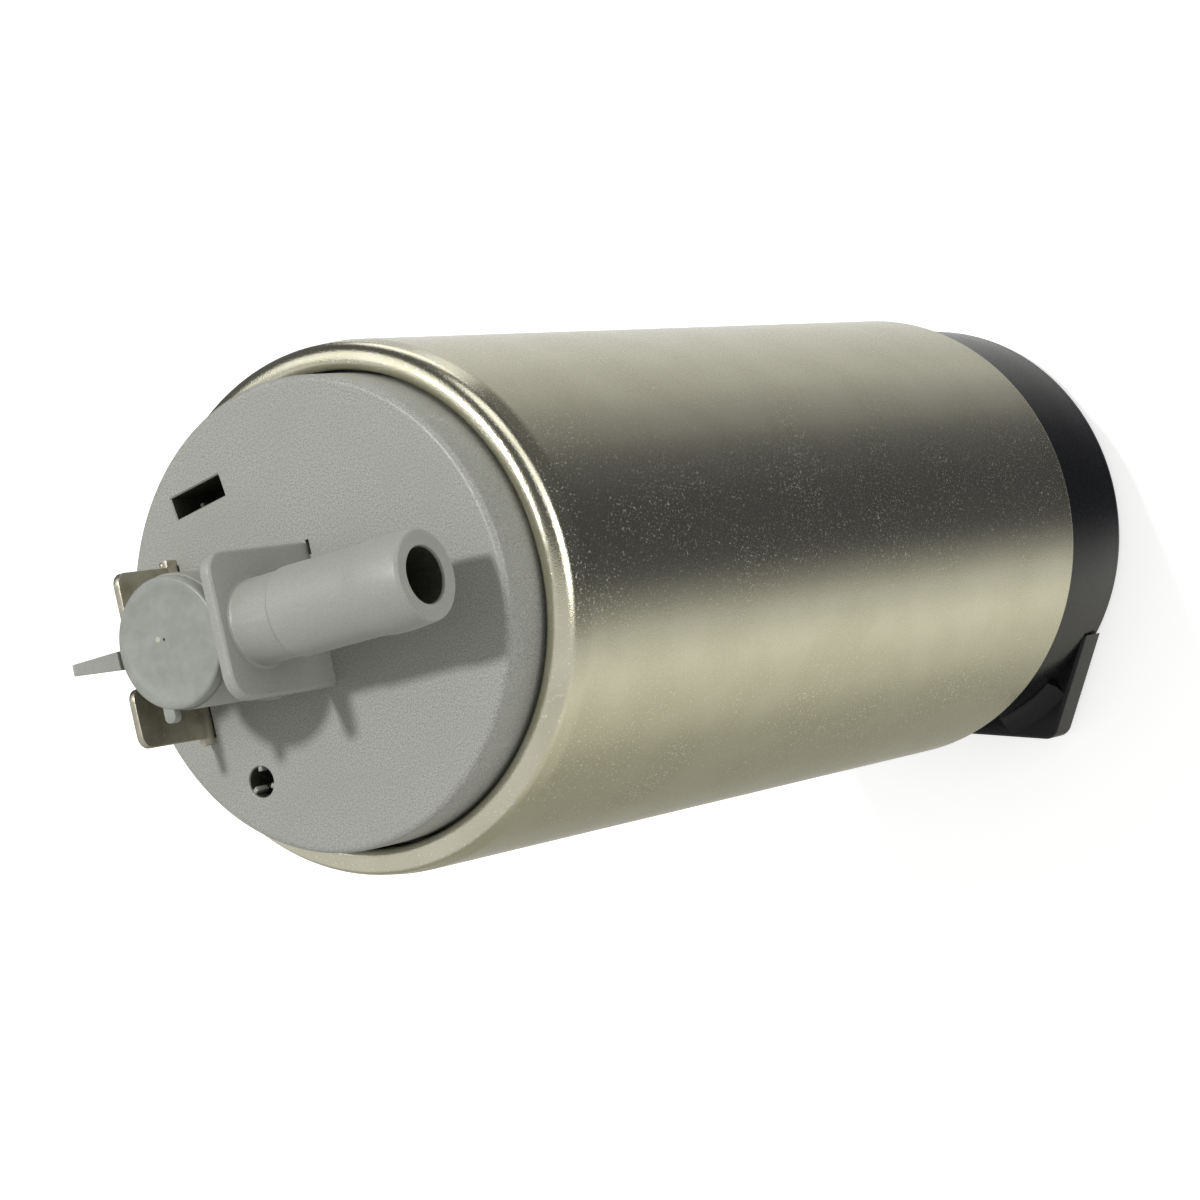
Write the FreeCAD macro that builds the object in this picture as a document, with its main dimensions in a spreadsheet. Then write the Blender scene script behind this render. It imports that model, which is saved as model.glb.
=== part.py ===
import FreeCAD, Part
import Sketcher
import os
import re

# In-tank electric fuel pump, standing on its inlet cover.
# Origin on the pump's axis at the foot of the cover, +Z to the outlet cap, +X along the hose nipple.

doc = FreeCAD.newDocument("FuelPump")
Vector = FreeCAD.Vector

# Driving dimensions in millimetres, angles in degrees.
sizes = {
    # fits
    "press_gap": 0.02,
    "run_gap": 0.06,
    "slide_gap": 0.1,
    # steel can, both ends rolled in
    "can_radius": 21.5,
    "can_wall": 1.0,
    "can_length": 84.5,
    "can_foot": 13.0,
    "lip_rise": 0.8,
    "lip_width": 2.4,
    "lip_lean": 0.35,
    "lip_fall": 2.8,
    "lip_shoulder": 6.0,
    "lip_round": 1.5,
    "lip_edge": 0.6,
    "crimp_depth": 0.4,
    "crimp_height": 0.7,
    # outlet cap, heights counted from its face, those of tower, plate and fin from the nipple's axis
    "cap_rise": 4.14,
    "gutter_width": 0.25,
    "cap_edge": 0.55,
    "cap_gutter": 2.5,
    "roof_thickness": 3.4,
    "skirt_height": 11.3,
    "skirt_wall": 3.2,
    "seal_wire": 1.6,
    "seal_drop": 2.2,
    # valve tower and its plug
    "tower_radius": 5.32,
    "tower_sink": 0.12,
    "tower_over": 3.6,
    "plug_head": 1.0,
    "plug_spigot": 0.5,
    "gate_width": 1.1,
    "gate_reach": 0.7,
    "gate_side": 1.65,
    "gate_height": 0.8,
    "valve_radius": 3.6,
    "seat_radius": 2.2,
    "seat_level": 1.8,
    # plate across the nipple
    "plate_back": 0.35,
    "plate_thickness": 1.1,
    "plate_half": 5.8,
    "plate_over": 4.5,
    "plate_corner": 1.8,
    # hose nipple
    "nipple_height": 7.56,
    "nipple_tip": 17.4,
    "nipple_radius": 3.55,
    "root_radius": 3.4,
    "root_end": 4.6,
    "barb_radius": 3.75,
    "barb_land": 1.5,
    "barb_rise": 1.3,
    "barb_lead": 2.4,
    "bore_radius": 2.175,
    # clip slot and relief hole
    "slot_x": 9.03,
    "slot_y": 11.66,
    "slot_length": 5.4,
    "slot_width": 1.8,
    "slot_turn": 8.0,
    "slot_depth": 5.5,
    "relief_x": 9.0,
    "relief_y": 11.67,
    "relief_radius": 1.25,
    "relief_rib": 0.45,
    "relief_land": 1.6,
    "relief_sink": 0.3,
    "relief_well": 2.2,
    "relief_drop": 7.5,
    "boss_wall": 1.2,
    # terminal blades
    "blade_x": 13.0,
    "blade_thickness": 0.8,
    "blade_width": 4.8,
    "blade_corner": 1.0,
    "blade_shoulder": 0.6,
    "shoulder_height": 1.2,
    "tail_width": 2.4,
    "positive_y": 4.4,
    "positive_rise": 7.3,
    "negative_y": 4.85,
    "negative_rise": 8.4,
    # keying fin
    "fin_reach": 13.5,
    "fin_over": 2.7,
    "fin_root": 1.5,
    "fin_tip": 0.9,
    "fin_side": 0.3,
    # inlet cover
    "cover_height": 19.0,
    "foot_taper": 0.28,
    "foot_rim": 4.4,
    "foot_land": 2.2,
    "foot_round": 1.5,
    "taper_height": 6.5,
    "recess_depth": 3.4,
    "hub_radius": 4.4,
    "rib_thickness": 1.6,
    "rib_drop": 1.2,
    "rib_count": 5,
    "inlet_offset": 9.4,
    "inlet_radius": 4.4,
    "snout_wall": 1.5,
    "snout_rise": 0.5,
    "vent_radius": 0.6,
    "lug_stand": 4.7,
    "lug_angle": -69.0,
    "lug_base": 0.9,
    "lug_thickness": 3.4,
    "lug_corner": 1.0,
    "lug_blend": 2.2,
    "lug_step": 3.4,
    # pump stage
    "casing_wall": 4.88,
    "impeller_height": 3.2,
    "vane_count": 36,
    "vane_depth": 2.2,
    "vane_width": 1.5,
    "vane_rim": 0.8,
    "channel_width": 3.4,
    "channel_depth": 1.3,
    "channel_angle": 300.0,
    "casing_height": 9.0,
    "port_radius": 1.4,
    "key_width": 2.4,
    "pin_radius": 0.8,
    "pin_length": 4.0,
    # rotor
    "shaft_radius": 1.585,
    "flat_depth": 0.4,
    "shaft_over": 0.8,
    "shaft_chamfer": 0.3,
    "bush_wall": 1.4,
    "bush_length": 5.0,
    "thrust_radius": 2.2,
    "thrust_height": 2.5,
    "magnet_thickness": 3.3,
    "magnet_angle": 132.0,
    "magnet_inset": 5.0,
    "clip_thickness": 0.8,
    "clip_clear": 0.5,
    "flux_wall": 1.7,
    "air_gap": 0.7,
    "slot_count": 10,
    "tooth_tip": 1.3,
    "slot_mouth": 1.4,
    "slot_opening": 3.0,
    "slot_bottom": 6.4,
    "insulator_height": 1.0,
    "winding_head": 6.0,
    "winding_round": 1.4,
    "winding_clear": 0.5,
    "rotor_lift": 3.0,
    "commutator_radius": 9.4,
    "hub_foot": 6.6,
    "commutator_height": 6.0,
    "carbon_height": 2.6,
    "carbon_web": 0.6,
    "segment_gap": 0.5,
    "holder_clear": 2.0,
    "washer_radius": 3.0,
    "washer_height": 0.5,
    # bearing holder, brushes and chokes
    "holder_height": 4.0,
    "brush_offset": 6.4,
    "brush_width": 4.4,
    "brush_height": 9.0,
    "well_wall": 0.9,
    "well_drop": 1.0,
    "port_angle": 36.0,
    "port_count": 6,
    "spring_wire": 0.25,
    "brush_coil": 1.7,
    "brush_turns": 7,
    "lead_radius": 0.45,
    "choke_angle": 27.0,
    "choke_radius": 1.5,
    "choke_height": 10.0,
    "choke_wire": 0.35,
    "choke_turns": 9,
    "socket_depth": 1.0,
    "strip_width": 1.8,
    "strip_height": 0.5,
    "strip_lap": 12.0,
    # valves
    "poppet_radius": 2.9,
    "poppet_height": 1.4,
    "poppet_seal": 0.8,
    "stem_radius": 0.9,
    "stem_length": 5.0,
    "stem_overlap": 1.3,
    "guide_wall": 0.7,
    "check_coil": 2.3,
    "check_turns": 5,
    "ball_radius": 1.5,
    "relief_seat_height": 2.4,
    "relief_seat_bore": 0.9,
    "relief_wire": 0.17,
    "relief_coil": 1.1,
    "relief_turns": 4,
}

dims = doc.addObject("Spreadsheet::Sheet", "Dims")
for row, (sizeName, sizeValue) in enumerate(sizes.items(), start=1):
    dims.set(f"A{row}", sizeName)
    dims.set(f"B{row}", str(sizeValue))
    dims.setAlias(f"B{row}", sizeName)
doc.recompute()

# Radii and levels that several pieces share, as formulas of the driving dimensions.
canInner = "(can_radius - can_wall)"
bodyRadius = "(can_radius - can_wall - press_gap)"
flangeTop = "(can_foot + can_length + lip_rise - can_wall)"
lipBore = "(can_radius - lip_width)"
capRadius = f"({lipBore} - gutter_width)"
footRadius = f"({bodyRadius} - foot_taper)"
recessRadius = f"({footRadius} - foot_rim)"
lugReach = f"({footRadius} + lug_stand)"
impellerRadius = f"({bodyRadius} - casing_wall - slide_gap)"
capFace = "(can_foot + can_length + lip_rise + cap_rise)"
flangeDrop = "(cap_rise + can_wall)"
skirtDrop = "(cap_rise + can_wall + skirt_height)"
skirtInner = "(can_radius - can_wall - skirt_wall)"
sealMiddle = "(can_radius - can_wall - press_gap - seal_wire / 2)"
holderTop = f"({flangeTop} - skirt_height)"
holderBase = f"({holderTop} - holder_height)"
casingTop = "(cover_height + casing_height)"
motorLength = f"({holderBase} - {casingTop})"
magnetOuter = "(can_radius - can_wall - flux_wall - press_gap * 2)"
magnetInner = f"({magnetOuter} - magnet_thickness)"
coreRadius = f"({magnetInner} - air_gap)"
slotTop = f"({coreRadius} - tooth_tip)"
impellerRoom = "(impeller_height + run_gap * 2)"
boreRadius = "(shaft_radius + press_gap)"
flatPlace = "(shaft_radius - flat_depth + shaft_radius / 2)"
bushOuter = "(shaft_radius + bush_wall)"
commutatorTop = f"({holderBase} - holder_clear)"
hubBase = f"({commutatorTop} - commutator_height)"
headTop = f"({hubBase} - run_gap)"
coreTop = f"({headTop} - winding_head - insulator_height)"
headBase = f"({casingTop} + rotor_lift)"
coreBase = f"({headBase} + winding_head + insulator_height)"
channelMiddle = f"({impellerRadius} - vane_rim - vane_depth / 2)"
channelInner = f"({channelMiddle} - channel_width / 2)"
channelOuter = f"({channelMiddle} + channel_width / 2)"
pinPlace = f"(({impellerRadius} + can_radius - can_wall) / 2)"
brushTop = f"({commutatorTop} + run_gap + brush_height)"
roofBase = f"({capFace} - roof_thickness)"
towerX = "(plate_back + tower_radius - tower_sink)"
towerHeight = "(nipple_height + tower_over)"
finHeight = f"({towerHeight} + fin_over)"
plugSeat = f"({capFace} + {towerHeight} - plug_head)"
plugBase = f"({plugSeat} - plug_spigot)"
seatTop = f"({capFace} - seat_level)"
poppetTop = f"({seatTop} + poppet_seal + poppet_height)"
reliefBase = f"({roofBase} - relief_drop)"
ballCentre = f"({reliefBase} + relief_seat_height + press_gap + sqrt(ball_radius ^ 2 - relief_seat_bore ^ 2))"
ballSeatRise = "(sqrt((ball_radius + relief_wire) ^ 2 - relief_coil ^ 2) - relief_wire + press_gap)"
barbEnd = "(nipple_tip - barb_lead)"
barbStart = "(nipple_tip - barb_lead - barb_land)"
inletPlace = ("inlet_offset * cos(channel_angle / 2 * 1deg)", "inlet_offset * sin(channel_angle / 2 * 1deg)")
chokeReach = "(sqrt(blade_x ^ 2 + positive_y ^ 2) - strip_width / 2 - choke_radius - slide_gap)"
chokeX = f"({chokeReach} * cos(choke_angle * 1deg))"
chokeY = f"({chokeReach} * sin(choke_angle * 1deg))"
holeWidth = "(brush_width + slide_gap * 2)"
wellWidth = "(brush_width + slide_gap * 2 + well_wall * 2)"
ribsInRelief = 3
bladeEnds = {"positive": ("positive_y", "1"), "negative": ("negative_y", "-1")}

pieces = []


def bound(text):
    """Points every size named in a formula at its cell."""
    return re.sub(r"[a-z]+(?:_[a-z]+)+", lambda word: "Dims." + word.group(), text)


def number(text):
    """Value of a formula."""
    return float(dims.evalExpression(bound(text)))


def seat(piece, x, y, z, turn):
    """Binds a piece's place in the pump."""
    piece.setExpression("Placement.Base.x", bound(x))
    piece.setExpression("Placement.Base.y", bound(y))
    piece.setExpression("Placement.Base.z", bound(z))
    if turn != "0":
        piece.setExpression("Placement.Rotation.Angle", bound(turn))


def newPiece(label, x="0", y="0", z="0", turn="0"):
    """Starts a sub-part as a body in its place."""
    body = doc.addObject("PartDesign::Body", label)
    body.Label = label
    seat(body, x, y, z, turn)
    pieces.append(body)
    return body


def originPart(body, role):
    """Plane or axis of the body's own origin."""
    return next(item for item in body.Origin.OriginFeatures if item.Role == role)


def sketchOn(body, role, level="0", shiftX="0", shiftY="0", turn="0"):
    """Sketch on one of the body's planes, raised to a level along its normal."""
    sketch = body.newObject("Sketcher::SketchObject", body.Label + "_outline")
    sketch.AttachmentSupport = [(originPart(body, role), "")]
    sketch.MapMode = "FlatFace"
    sketch.setExpression("AttachmentOffset.Base.x", bound(shiftX))
    sketch.setExpression("AttachmentOffset.Base.y", bound(shiftY))
    sketch.setExpression("AttachmentOffset.Base.z", bound(level))
    if turn != "0":
        sketch.setExpression("AttachmentOffset.Rotation.Angle", bound(turn))
    return sketch


def pinPoint(sketch, geometry, end, x, y):
    """Ties one point of a sketch to two formulas."""
    for kind, text in (("DistanceX", x), ("DistanceY", y)):
        index = sketch.addConstraint(Sketcher.Constraint(kind, -1, 1, geometry, end, number(text)))
        sketch.setExpression(f"Constraints[{index}]", bound(text))


def addPolygon(sketch, corners):
    """Closed outline of straight lines through corners given as formulas."""
    spots = [Vector(number(x), number(y), 0) for x, y in corners]
    first = sketch.GeometryCount
    count = len(corners)
    for i in range(count):
        sketch.addGeometry(Part.LineSegment(spots[i], spots[(i + 1) % count]))
    for i in range(count):
        sketch.addConstraint(Sketcher.Constraint("Coincident", first + i, 2, first + (i + 1) % count, 1))
    for i in range(count):
        pinPoint(sketch, first + i, 1, *corners[i])


def addRectangle(sketch, width, depth, x="0", y="0"):
    """Rectangle about a middle point."""
    left, right = f"{x} - ({width}) / 2", f"{x} + ({width}) / 2"
    low, high = f"{y} - ({depth}) / 2", f"{y} + ({depth}) / 2"
    addPolygon(sketch, [(left, low), (right, low), (right, high), (left, high)])


def addCircle(sketch, radius, x="0", y="0"):
    """Circle about a middle point."""
    middle = Vector(number(x), number(y), 0)
    geometry = sketch.addGeometry(Part.Circle(middle, Vector(0, 0, 1), number(radius)))
    index = sketch.addConstraint(Sketcher.Constraint("Radius", geometry, number(radius)))
    sketch.setExpression(f"Constraints[{index}]", bound(radius))
    pinPoint(sketch, geometry, 3, x, y)


def addFeature(body, kind, sketch):
    """Adds a feature of a sketch to its body."""
    feature = body.newObject("PartDesign::" + kind, body.Label + "_" + kind.lower())
    feature.Profile = sketch
    return feature


def pad(sketch, length):
    """Adds material along the sketch's normal."""
    body = sketch.getParentGeoFeatureGroup()
    feature = addFeature(body, "Pad", sketch)
    feature.setExpression("Length", bound(length))
    doc.recompute()
    return feature


def cut(sketch, length):
    """Takes material away along the sketch's normal."""
    body = sketch.getParentGeoFeatureGroup()
    before = body.Shape.Volume
    feature = addFeature(body, "Pocket", sketch)
    feature.Reversed = True
    feature.setExpression("Length", bound(length))
    doc.recompute()
    if body.Shape.Volume >= before:
        raise RuntimeError(body.Label + ": a pocket cuts nothing")
    return feature


def turned(body, corners, angle="360", role="XZ_Plane", shiftY="0", axis="V_Axis"):
    """Turns an outline about the sketch's axis, evenly to both sides of its plane."""
    sketch = sketchOn(body, role, shiftY=shiftY)
    addPolygon(sketch, corners)
    feature = addFeature(body, "Revolution", sketch)
    feature.ReferenceAxis = (sketch, [axis])
    feature.Midplane = True
    feature.setExpression("Angle", bound(angle))
    doc.recompute()
    return feature


def grooved(body, corners, angle="360", role="XZ_Plane", shiftY="0", axis="V_Axis"):
    """Turns a groove out of the body, evenly to both sides of the sketch's plane."""
    before = body.Shape.Volume
    sketch = sketchOn(body, role, shiftY=shiftY)
    addPolygon(sketch, corners)
    feature = addFeature(body, "Groove", sketch)
    feature.ReferenceAxis = (sketch, [axis])
    feature.Midplane = True
    feature.setExpression("Angle", bound(angle))
    doc.recompute()
    if body.Shape.Volume >= before:
        raise RuntimeError(body.Label + ": a groove cuts nothing")
    return feature


def ringOf(feature, count):
    """Repeats a feature round the body's Z axis."""
    body = feature.getParentGeoFeatureGroup()
    pattern = body.newObject("PartDesign::PolarPattern", body.Label + "_ring")
    pattern.Originals = [feature]
    pattern.Axis = (originPart(body, "Z_Axis"), [""])
    pattern.Angle = 360
    pattern.setExpression("Occurrences", bound(count))
    body.Tip = pattern
    doc.recompute()
    return pattern


def dress(body, kind, size, chosen):
    """Rounds or bevels the edges that a test picks out."""
    shape = body.Shape
    base = body.Tip
    names = [f"Edge{i}" for i, edge in enumerate(base.Shape.Edges, start=1) if chosen(edge)]
    if not names:
        raise RuntimeError(body.Label + ": no edge to " + kind.lower())
    feature = body.newObject("PartDesign::" + kind, body.Label + "_" + kind.lower())
    feature.Base = (base, names)
    feature.setExpression("Radius" if kind == "Fillet" else "Size", bound(size))
    doc.recompute()
    if not feature.isValid() or feature.Shape.Volume == shape.Volume:
        raise RuntimeError(body.Label + ": its edges were not dressed")
    return feature


def near(a, b):
    """True for two lengths that are the same."""
    return abs(a - b) < 1e-4


def ringEdge(radius, level):
    """Test for a round edge about Z of this radius at this level."""
    wantedRadius, wantedLevel = number(radius), number(level)

    def chosen(edge):
        curve = edge.Curve
        if not isinstance(curve, Part.Circle):
            return False
        return near(curve.Radius, wantedRadius) and near(curve.Center.z, wantedLevel)

    return chosen


def lineEdge(**places):
    """Test for a straight edge that lies at the given x, y or z all along."""
    wanted = {axis: number(text) for axis, text in places.items()}

    def chosen(edge):
        if not isinstance(edge.Curve, Part.Line):
            return False
        ends = [vertex.Point for vertex in edge.Vertexes]
        return all(near(getattr(end, axis), value) for end in ends for axis, value in wanted.items())

    return chosen


def coil(label, radius, wire, turns, room, x, y, z):
    """Helical spring or winding of round wire in a room of the given height."""
    body = newPiece(label, x, y, z)
    sketch = sketchOn(body, "XZ_Plane")
    addCircle(sketch, wire, radius, wire)
    feature = body.newObject("PartDesign::AdditiveHelix", label + "_helix")
    feature.Profile = sketch
    feature.ReferenceAxis = (sketch, ["V_Axis"])
    feature.Mode = "height-turns-angle"
    feature.setExpression("Height", bound(f"{room} - {wire} * 2 - press_gap * 2"))
    feature.setExpression("Turns", bound(turns))
    doc.recompute()


def tube(label, inner, outer, height, z, x="0", y="0"):
    """Plain round tube standing on a level."""
    body = newPiece(label, x, y, z)
    sketch = sketchOn(body, "XY_Plane")
    addCircle(sketch, outer)
    addCircle(sketch, inner)
    pad(sketch, height)
    return body


def rod(label, radius, height, z, x="0", y="0"):
    """Plain round rod standing on a level."""
    body = newPiece(label, x, y, z)
    sketch = sketchOn(body, "XY_Plane")
    addCircle(sketch, radius)
    pad(sketch, height)
    return body


def cutRound(body, radius, level, length, x="0", y="0"):
    """Round hole along Z."""
    sketch = sketchOn(body, "XY_Plane", level)
    addCircle(sketch, radius, x, y)
    cut(sketch, length)


def padRound(body, radius, level, length, x="0", y="0"):
    """Round boss along Z."""
    sketch = sketchOn(body, "XY_Plane", level)
    addCircle(sketch, radius, x, y)
    pad(sketch, length)


def sealGroove(body, level):
    """Groove for an O-ring in the outside of a body that fits the can."""
    bottom = f"{sealMiddle} - seal_wire / 2 - press_gap"
    side = "(seal_wire / 2 + slide_gap)"
    low, high = f"{level} - {side}", f"{level} + {side}"
    grooved(body, [(bottom, low), ("can_radius", low), ("can_radius", high), (bottom, high)])


def makeSeal(label, level):
    """O-ring between the can and one of its end pieces."""
    ring = doc.addObject("Part::Torus", label)
    ring.Label = label
    ring.setExpression("Radius1", bound(sealMiddle))
    ring.setExpression("Radius2", bound("seal_wire / 2"))
    seat(ring, "0", "0", level, "0")
    pieces.append(ring)


def makeCan():
    """Drawn steel tube with a rolled lip on top and a crimped foot."""
    body = newPiece("pump_can", z="can_foot")
    top = "(can_length + lip_rise)"
    turned(body, [
        (f"{canInner} - crimp_depth + press_gap", "0"),
        ("can_radius - crimp_height", "0"),
        ("can_radius", "crimp_height"),
        ("can_radius", f"{top} - lip_fall"),
        ("can_radius - lip_lean", top),
        (lipBore, top),
        (lipBore, f"{top} - can_wall"),
        (canInner, f"{top} - can_wall"),
        (canInner, "crimp_height"),
    ])
    dress(body, "Fillet", "lip_shoulder", ringEdge("can_radius", f"{top} - lip_fall"))
    dress(body, "Fillet", "lip_round", ringEdge("can_radius - lip_lean", top))
    dress(body, "Fillet", "lip_edge", ringEdge(lipBore, top))


def addLug(body):
    """Corner lug on tangent flanks, with a rounded tip and a blend up to the foot."""
    tangentX = f"({footRadius} ^ 2 / {lugReach})"
    tangentY = f"({footRadius} * sqrt(1 - ({footRadius} / {lugReach}) ^ 2))"
    share = f"(lug_step / sqrt({lugReach} ^ 2 - {footRadius} ^ 2))"
    startX = f"({tangentX} + ({lugReach} - {tangentX}) * {share})"
    startY = f"({tangentY} * (1 - {share}))"
    sketch = sketchOn(body, "XY_Plane", "lug_base")
    addPolygon(sketch, [(startX, f"0 - {startY}"), (lugReach, "0"), (startX, startY)])
    pad(sketch, "lug_thickness")
    dress(body, "Fillet", "lug_corner", lineEdge(x=lugReach, y="0"))
    inner, outer = f"({footRadius} - lug_blend)", f"({footRadius} + lug_blend)"
    top = "(lug_base + lug_thickness)"
    hollow = "(lug_blend * (1 - sqrt(0.5)))"
    spread = f"(acos({footRadius} / {lugReach}) - acos({footRadius} / ({outer} + slide_gap))) * 2 / 1deg"
    turned(body, [
        (inner, "lug_base + lug_thickness / 2"), (outer, "lug_base + lug_thickness / 2"), (outer, top),
        (f"{footRadius} + {hollow}", f"{top} + {hollow}"),
        (footRadius, f"{top} + lug_blend"), (inner, f"{top} + lug_blend"),
    ], spread)


def addUnderside(body):
    """Hub, ribs and inlet snout in the cored underside."""
    padRound(body, "hub_radius", "0", "recess_depth")
    ribs = sketchOn(body, "XY_Plane", "rib_drop", turn="180 / rib_count")
    inner, outer = "(hub_radius / 2)", f"({recessRadius} + foot_rim / 2)"
    addRectangle(ribs, f"{outer} - {inner}", "rib_thickness", f"({outer} + {inner}) / 2")
    ringOf(pad(ribs, "recess_depth - rib_drop"), "rib_count")
    padRound(body, "inlet_radius + snout_wall", "snout_rise", "recess_depth - snout_rise", *inletPlace)
    cutRound(body, "inlet_radius", "0", "cover_height", *inletPlace)


def makeCover():
    """Black inlet moulding: foot rim, cored underside, inlet snout and corner lug."""
    body = newPiece("inlet_cover", turn="lug_angle")
    turned(body, [
        ("0", "recess_depth"),
        (recessRadius, "recess_depth"),
        (recessRadius, "0"),
        (footRadius, "0"),
        (footRadius, "foot_land"),
        (bodyRadius, "taper_height"),
        (bodyRadius, "can_foot"),
        (f"{bodyRadius} - crimp_depth", "can_foot"),
        (f"{bodyRadius} - crimp_depth", "can_foot + crimp_height"),
        (bodyRadius, "can_foot + crimp_height"),
        (bodyRadius, "cover_height"),
        ("0", "cover_height"),
    ])
    dress(body, "Fillet", "foot_round", ringEdge(footRadius, "0"))
    addLug(body)
    addUnderside(body)
    floor = "(cover_height - channel_depth)"
    grooved(body, [(channelInner, floor), (channelOuter, floor),
                   (channelOuter, "cover_height"), (channelInner, "cover_height")], "channel_angle")
    cutRound(body, "vent_radius", "0", "cover_height", channelMiddle)
    cutRound(body, "thrust_radius + press_gap", "cover_height - thrust_height", "thrust_height")
    cutRound(body, "pin_radius + press_gap", "cover_height - pin_length / 2", "pin_length", pinPlace)
    sealGroove(body, "(cover_height - seal_drop)")


def makeCasing():
    """Casing over the impeller with the upper side channel, outlet port and lower bush seat."""
    body = newPiece("pump_casing", z="cover_height", turn="lug_angle")
    roomRadius = f"{impellerRadius} + slide_gap"
    turned(body, [
        ("0", impellerRoom), (roomRadius, impellerRoom), (roomRadius, "0"), (bodyRadius, "0"),
        (bodyRadius, "casing_height"), ("0", "casing_height"),
    ])
    roof = f"({impellerRoom} + channel_depth)"
    grooved(body, [(channelInner, impellerRoom), (channelOuter, impellerRoom),
                   (channelOuter, roof), (channelInner, roof)], "channel_angle")
    portX = f"{channelMiddle} * cos(channel_angle / 2 * 1deg)"
    portY = f"0 - {channelMiddle} * sin(channel_angle / 2 * 1deg)"
    cutRound(body, "port_radius", "0", "casing_height", portX, portY)
    cutRound(body, "shaft_radius + slide_gap", "0", "casing_height")
    cutRound(body, f"{bushOuter} + press_gap", "casing_height - bush_length", "bush_length")
    cutRound(body, "pin_radius + press_gap", "0", "pin_length / 2", pinPlace)


def makePumpStage():
    """Impeller, thrust button, locating pin and lower bush."""
    rod("thrust_button", "thrust_radius", "thrust_height", "cover_height - thrust_height")
    pin = newPiece("locating_pin", z="cover_height - pin_length / 2", turn="lug_angle")
    outline = sketchOn(pin, "XY_Plane")
    addCircle(outline, "pin_radius", pinPlace)
    pad(outline, "pin_length")
    impeller = tube("impeller", boreRadius, impellerRadius, "impeller_height", "cover_height + run_gap")
    key = sketchOn(impeller, "XY_Plane")
    addRectangle(key, "key_width", "shaft_radius", y=f"{flatPlace} + press_gap")
    pad(key, "impeller_height")
    window = sketchOn(impeller, "XY_Plane")
    addRectangle(window, "vane_depth", "vane_width", channelMiddle)
    ringOf(cut(window, "impeller_height"), "vane_count")
    tube("lower_bush", boreRadius, bushOuter, "bush_length", f"{casingTop} - bush_length")


def makeShaft():
    """Ground shaft with a drive flat for the impeller."""
    foot = "(cover_height + run_gap / 2)"
    length = f"({holderBase} + bush_length + shaft_over - {foot})"
    body = rod("shaft", "shaft_radius", length, foot)
    flat = sketchOn(body, "XY_Plane")
    addRectangle(flat, "shaft_radius * 2 + flat_depth", "shaft_radius", y=flatPlace)
    cut(flat, f"{impellerRoom} + run_gap")
    dress(body, "Chamfer", "shaft_chamfer", ringEdge("shaft_radius", length))


def slottedDisc(label, radius, height, z):
    """Round lamination with a ring of winding slots."""
    body = tube(label, boreRadius, radius, height, z)
    slot = sketchOn(body, "XY_Plane")
    side, mouth = "slot_opening / 2", "slot_mouth / 2"
    addPolygon(slot, [
        ("slot_bottom", f"0 - {side}"), (slotTop, f"0 - {side}"), (slotTop, f"0 - {mouth}"),
        (f"{coreRadius} + air_gap", f"0 - {mouth}"), (f"{coreRadius} + air_gap", mouth),
        (slotTop, mouth), (slotTop, side), ("slot_bottom", side),
    ])
    ringOf(cut(slot, height), "slot_count")


def windingHead(body, level):
    """End turns of the winding as a rounded ring."""
    inner, outer = "(slot_bottom - winding_clear)", f"({slotTop} - slide_gap)"
    top = f"({level} + winding_head)"
    turned(body, [(inner, level), (outer, level), (outer, top), (inner, top)])


def makeArmature():
    """Laminated core, end insulators and copper winding."""
    slottedDisc("armature_core", coreRadius, f"{coreTop} - {coreBase}", coreBase)
    rim = f"{coreRadius} - slide_gap * 2"
    slottedDisc("core_insulator_lower", rim, "insulator_height", f"{coreBase} - insulator_height")
    slottedDisc("core_insulator_upper", rim, "insulator_height", coreTop)
    body = newPiece("armature_windings", z=headBase)
    windingHead(body, "0")
    bar = sketchOn(body, "XY_Plane", "winding_head / 2")
    low, high = "(slot_bottom + slide_gap)", f"({slotTop} - slide_gap)"
    addRectangle(bar, f"{high} - {low}", "slot_opening - slide_gap * 2", f"({high} + {low}) / 2")
    ringOf(pad(bar, f"{headTop} - {headBase} - winding_head"), "slot_count")
    windingHead(body, f"({headTop} - {headBase} - winding_head)")
    ends = [ringEdge(high, level) for level in ("0", f"{headTop} - {headBase}")]
    dress(body, "Fillet", "winding_round", lambda edge: any(test(edge) for test in ends))


def makeCommutator():
    """Moulded hub, slotted carbon face, spacer and thrust washer."""
    sleeve = "(washer_radius)"
    shelf = "(commutator_height - carbon_height)"
    rim = "commutator_height - slide_gap"
    hub = newPiece("commutator_hub", z=hubBase)
    turned(hub, [
        (boreRadius, "0"), ("hub_foot", "0"), ("commutator_radius", f"{shelf} / 2"),
        ("commutator_radius", shelf), (sleeve, shelf), (sleeve, rim), (boreRadius, rim),
    ])
    ring = tube("commutator_ring", f"{sleeve} + press_gap", "commutator_radius", "carbon_height",
                f"{hubBase} + {shelf}")
    gap = sketchOn(ring, "XY_Plane", "carbon_web")
    addRectangle(gap, "commutator_radius", "segment_gap", f"{sleeve} + commutator_radius / 2 - press_gap")
    ringOf(cut(gap, "carbon_height"), "slot_count")
    tube("thrust_washer", boreRadius, "washer_radius", "washer_height", f"{commutatorTop} - slide_gap")
    foot = f"({casingTop} + run_gap)"
    tube("rotor_spacer", boreRadius, "washer_radius", f"{coreBase} - insulator_height - {foot}", foot)


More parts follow.
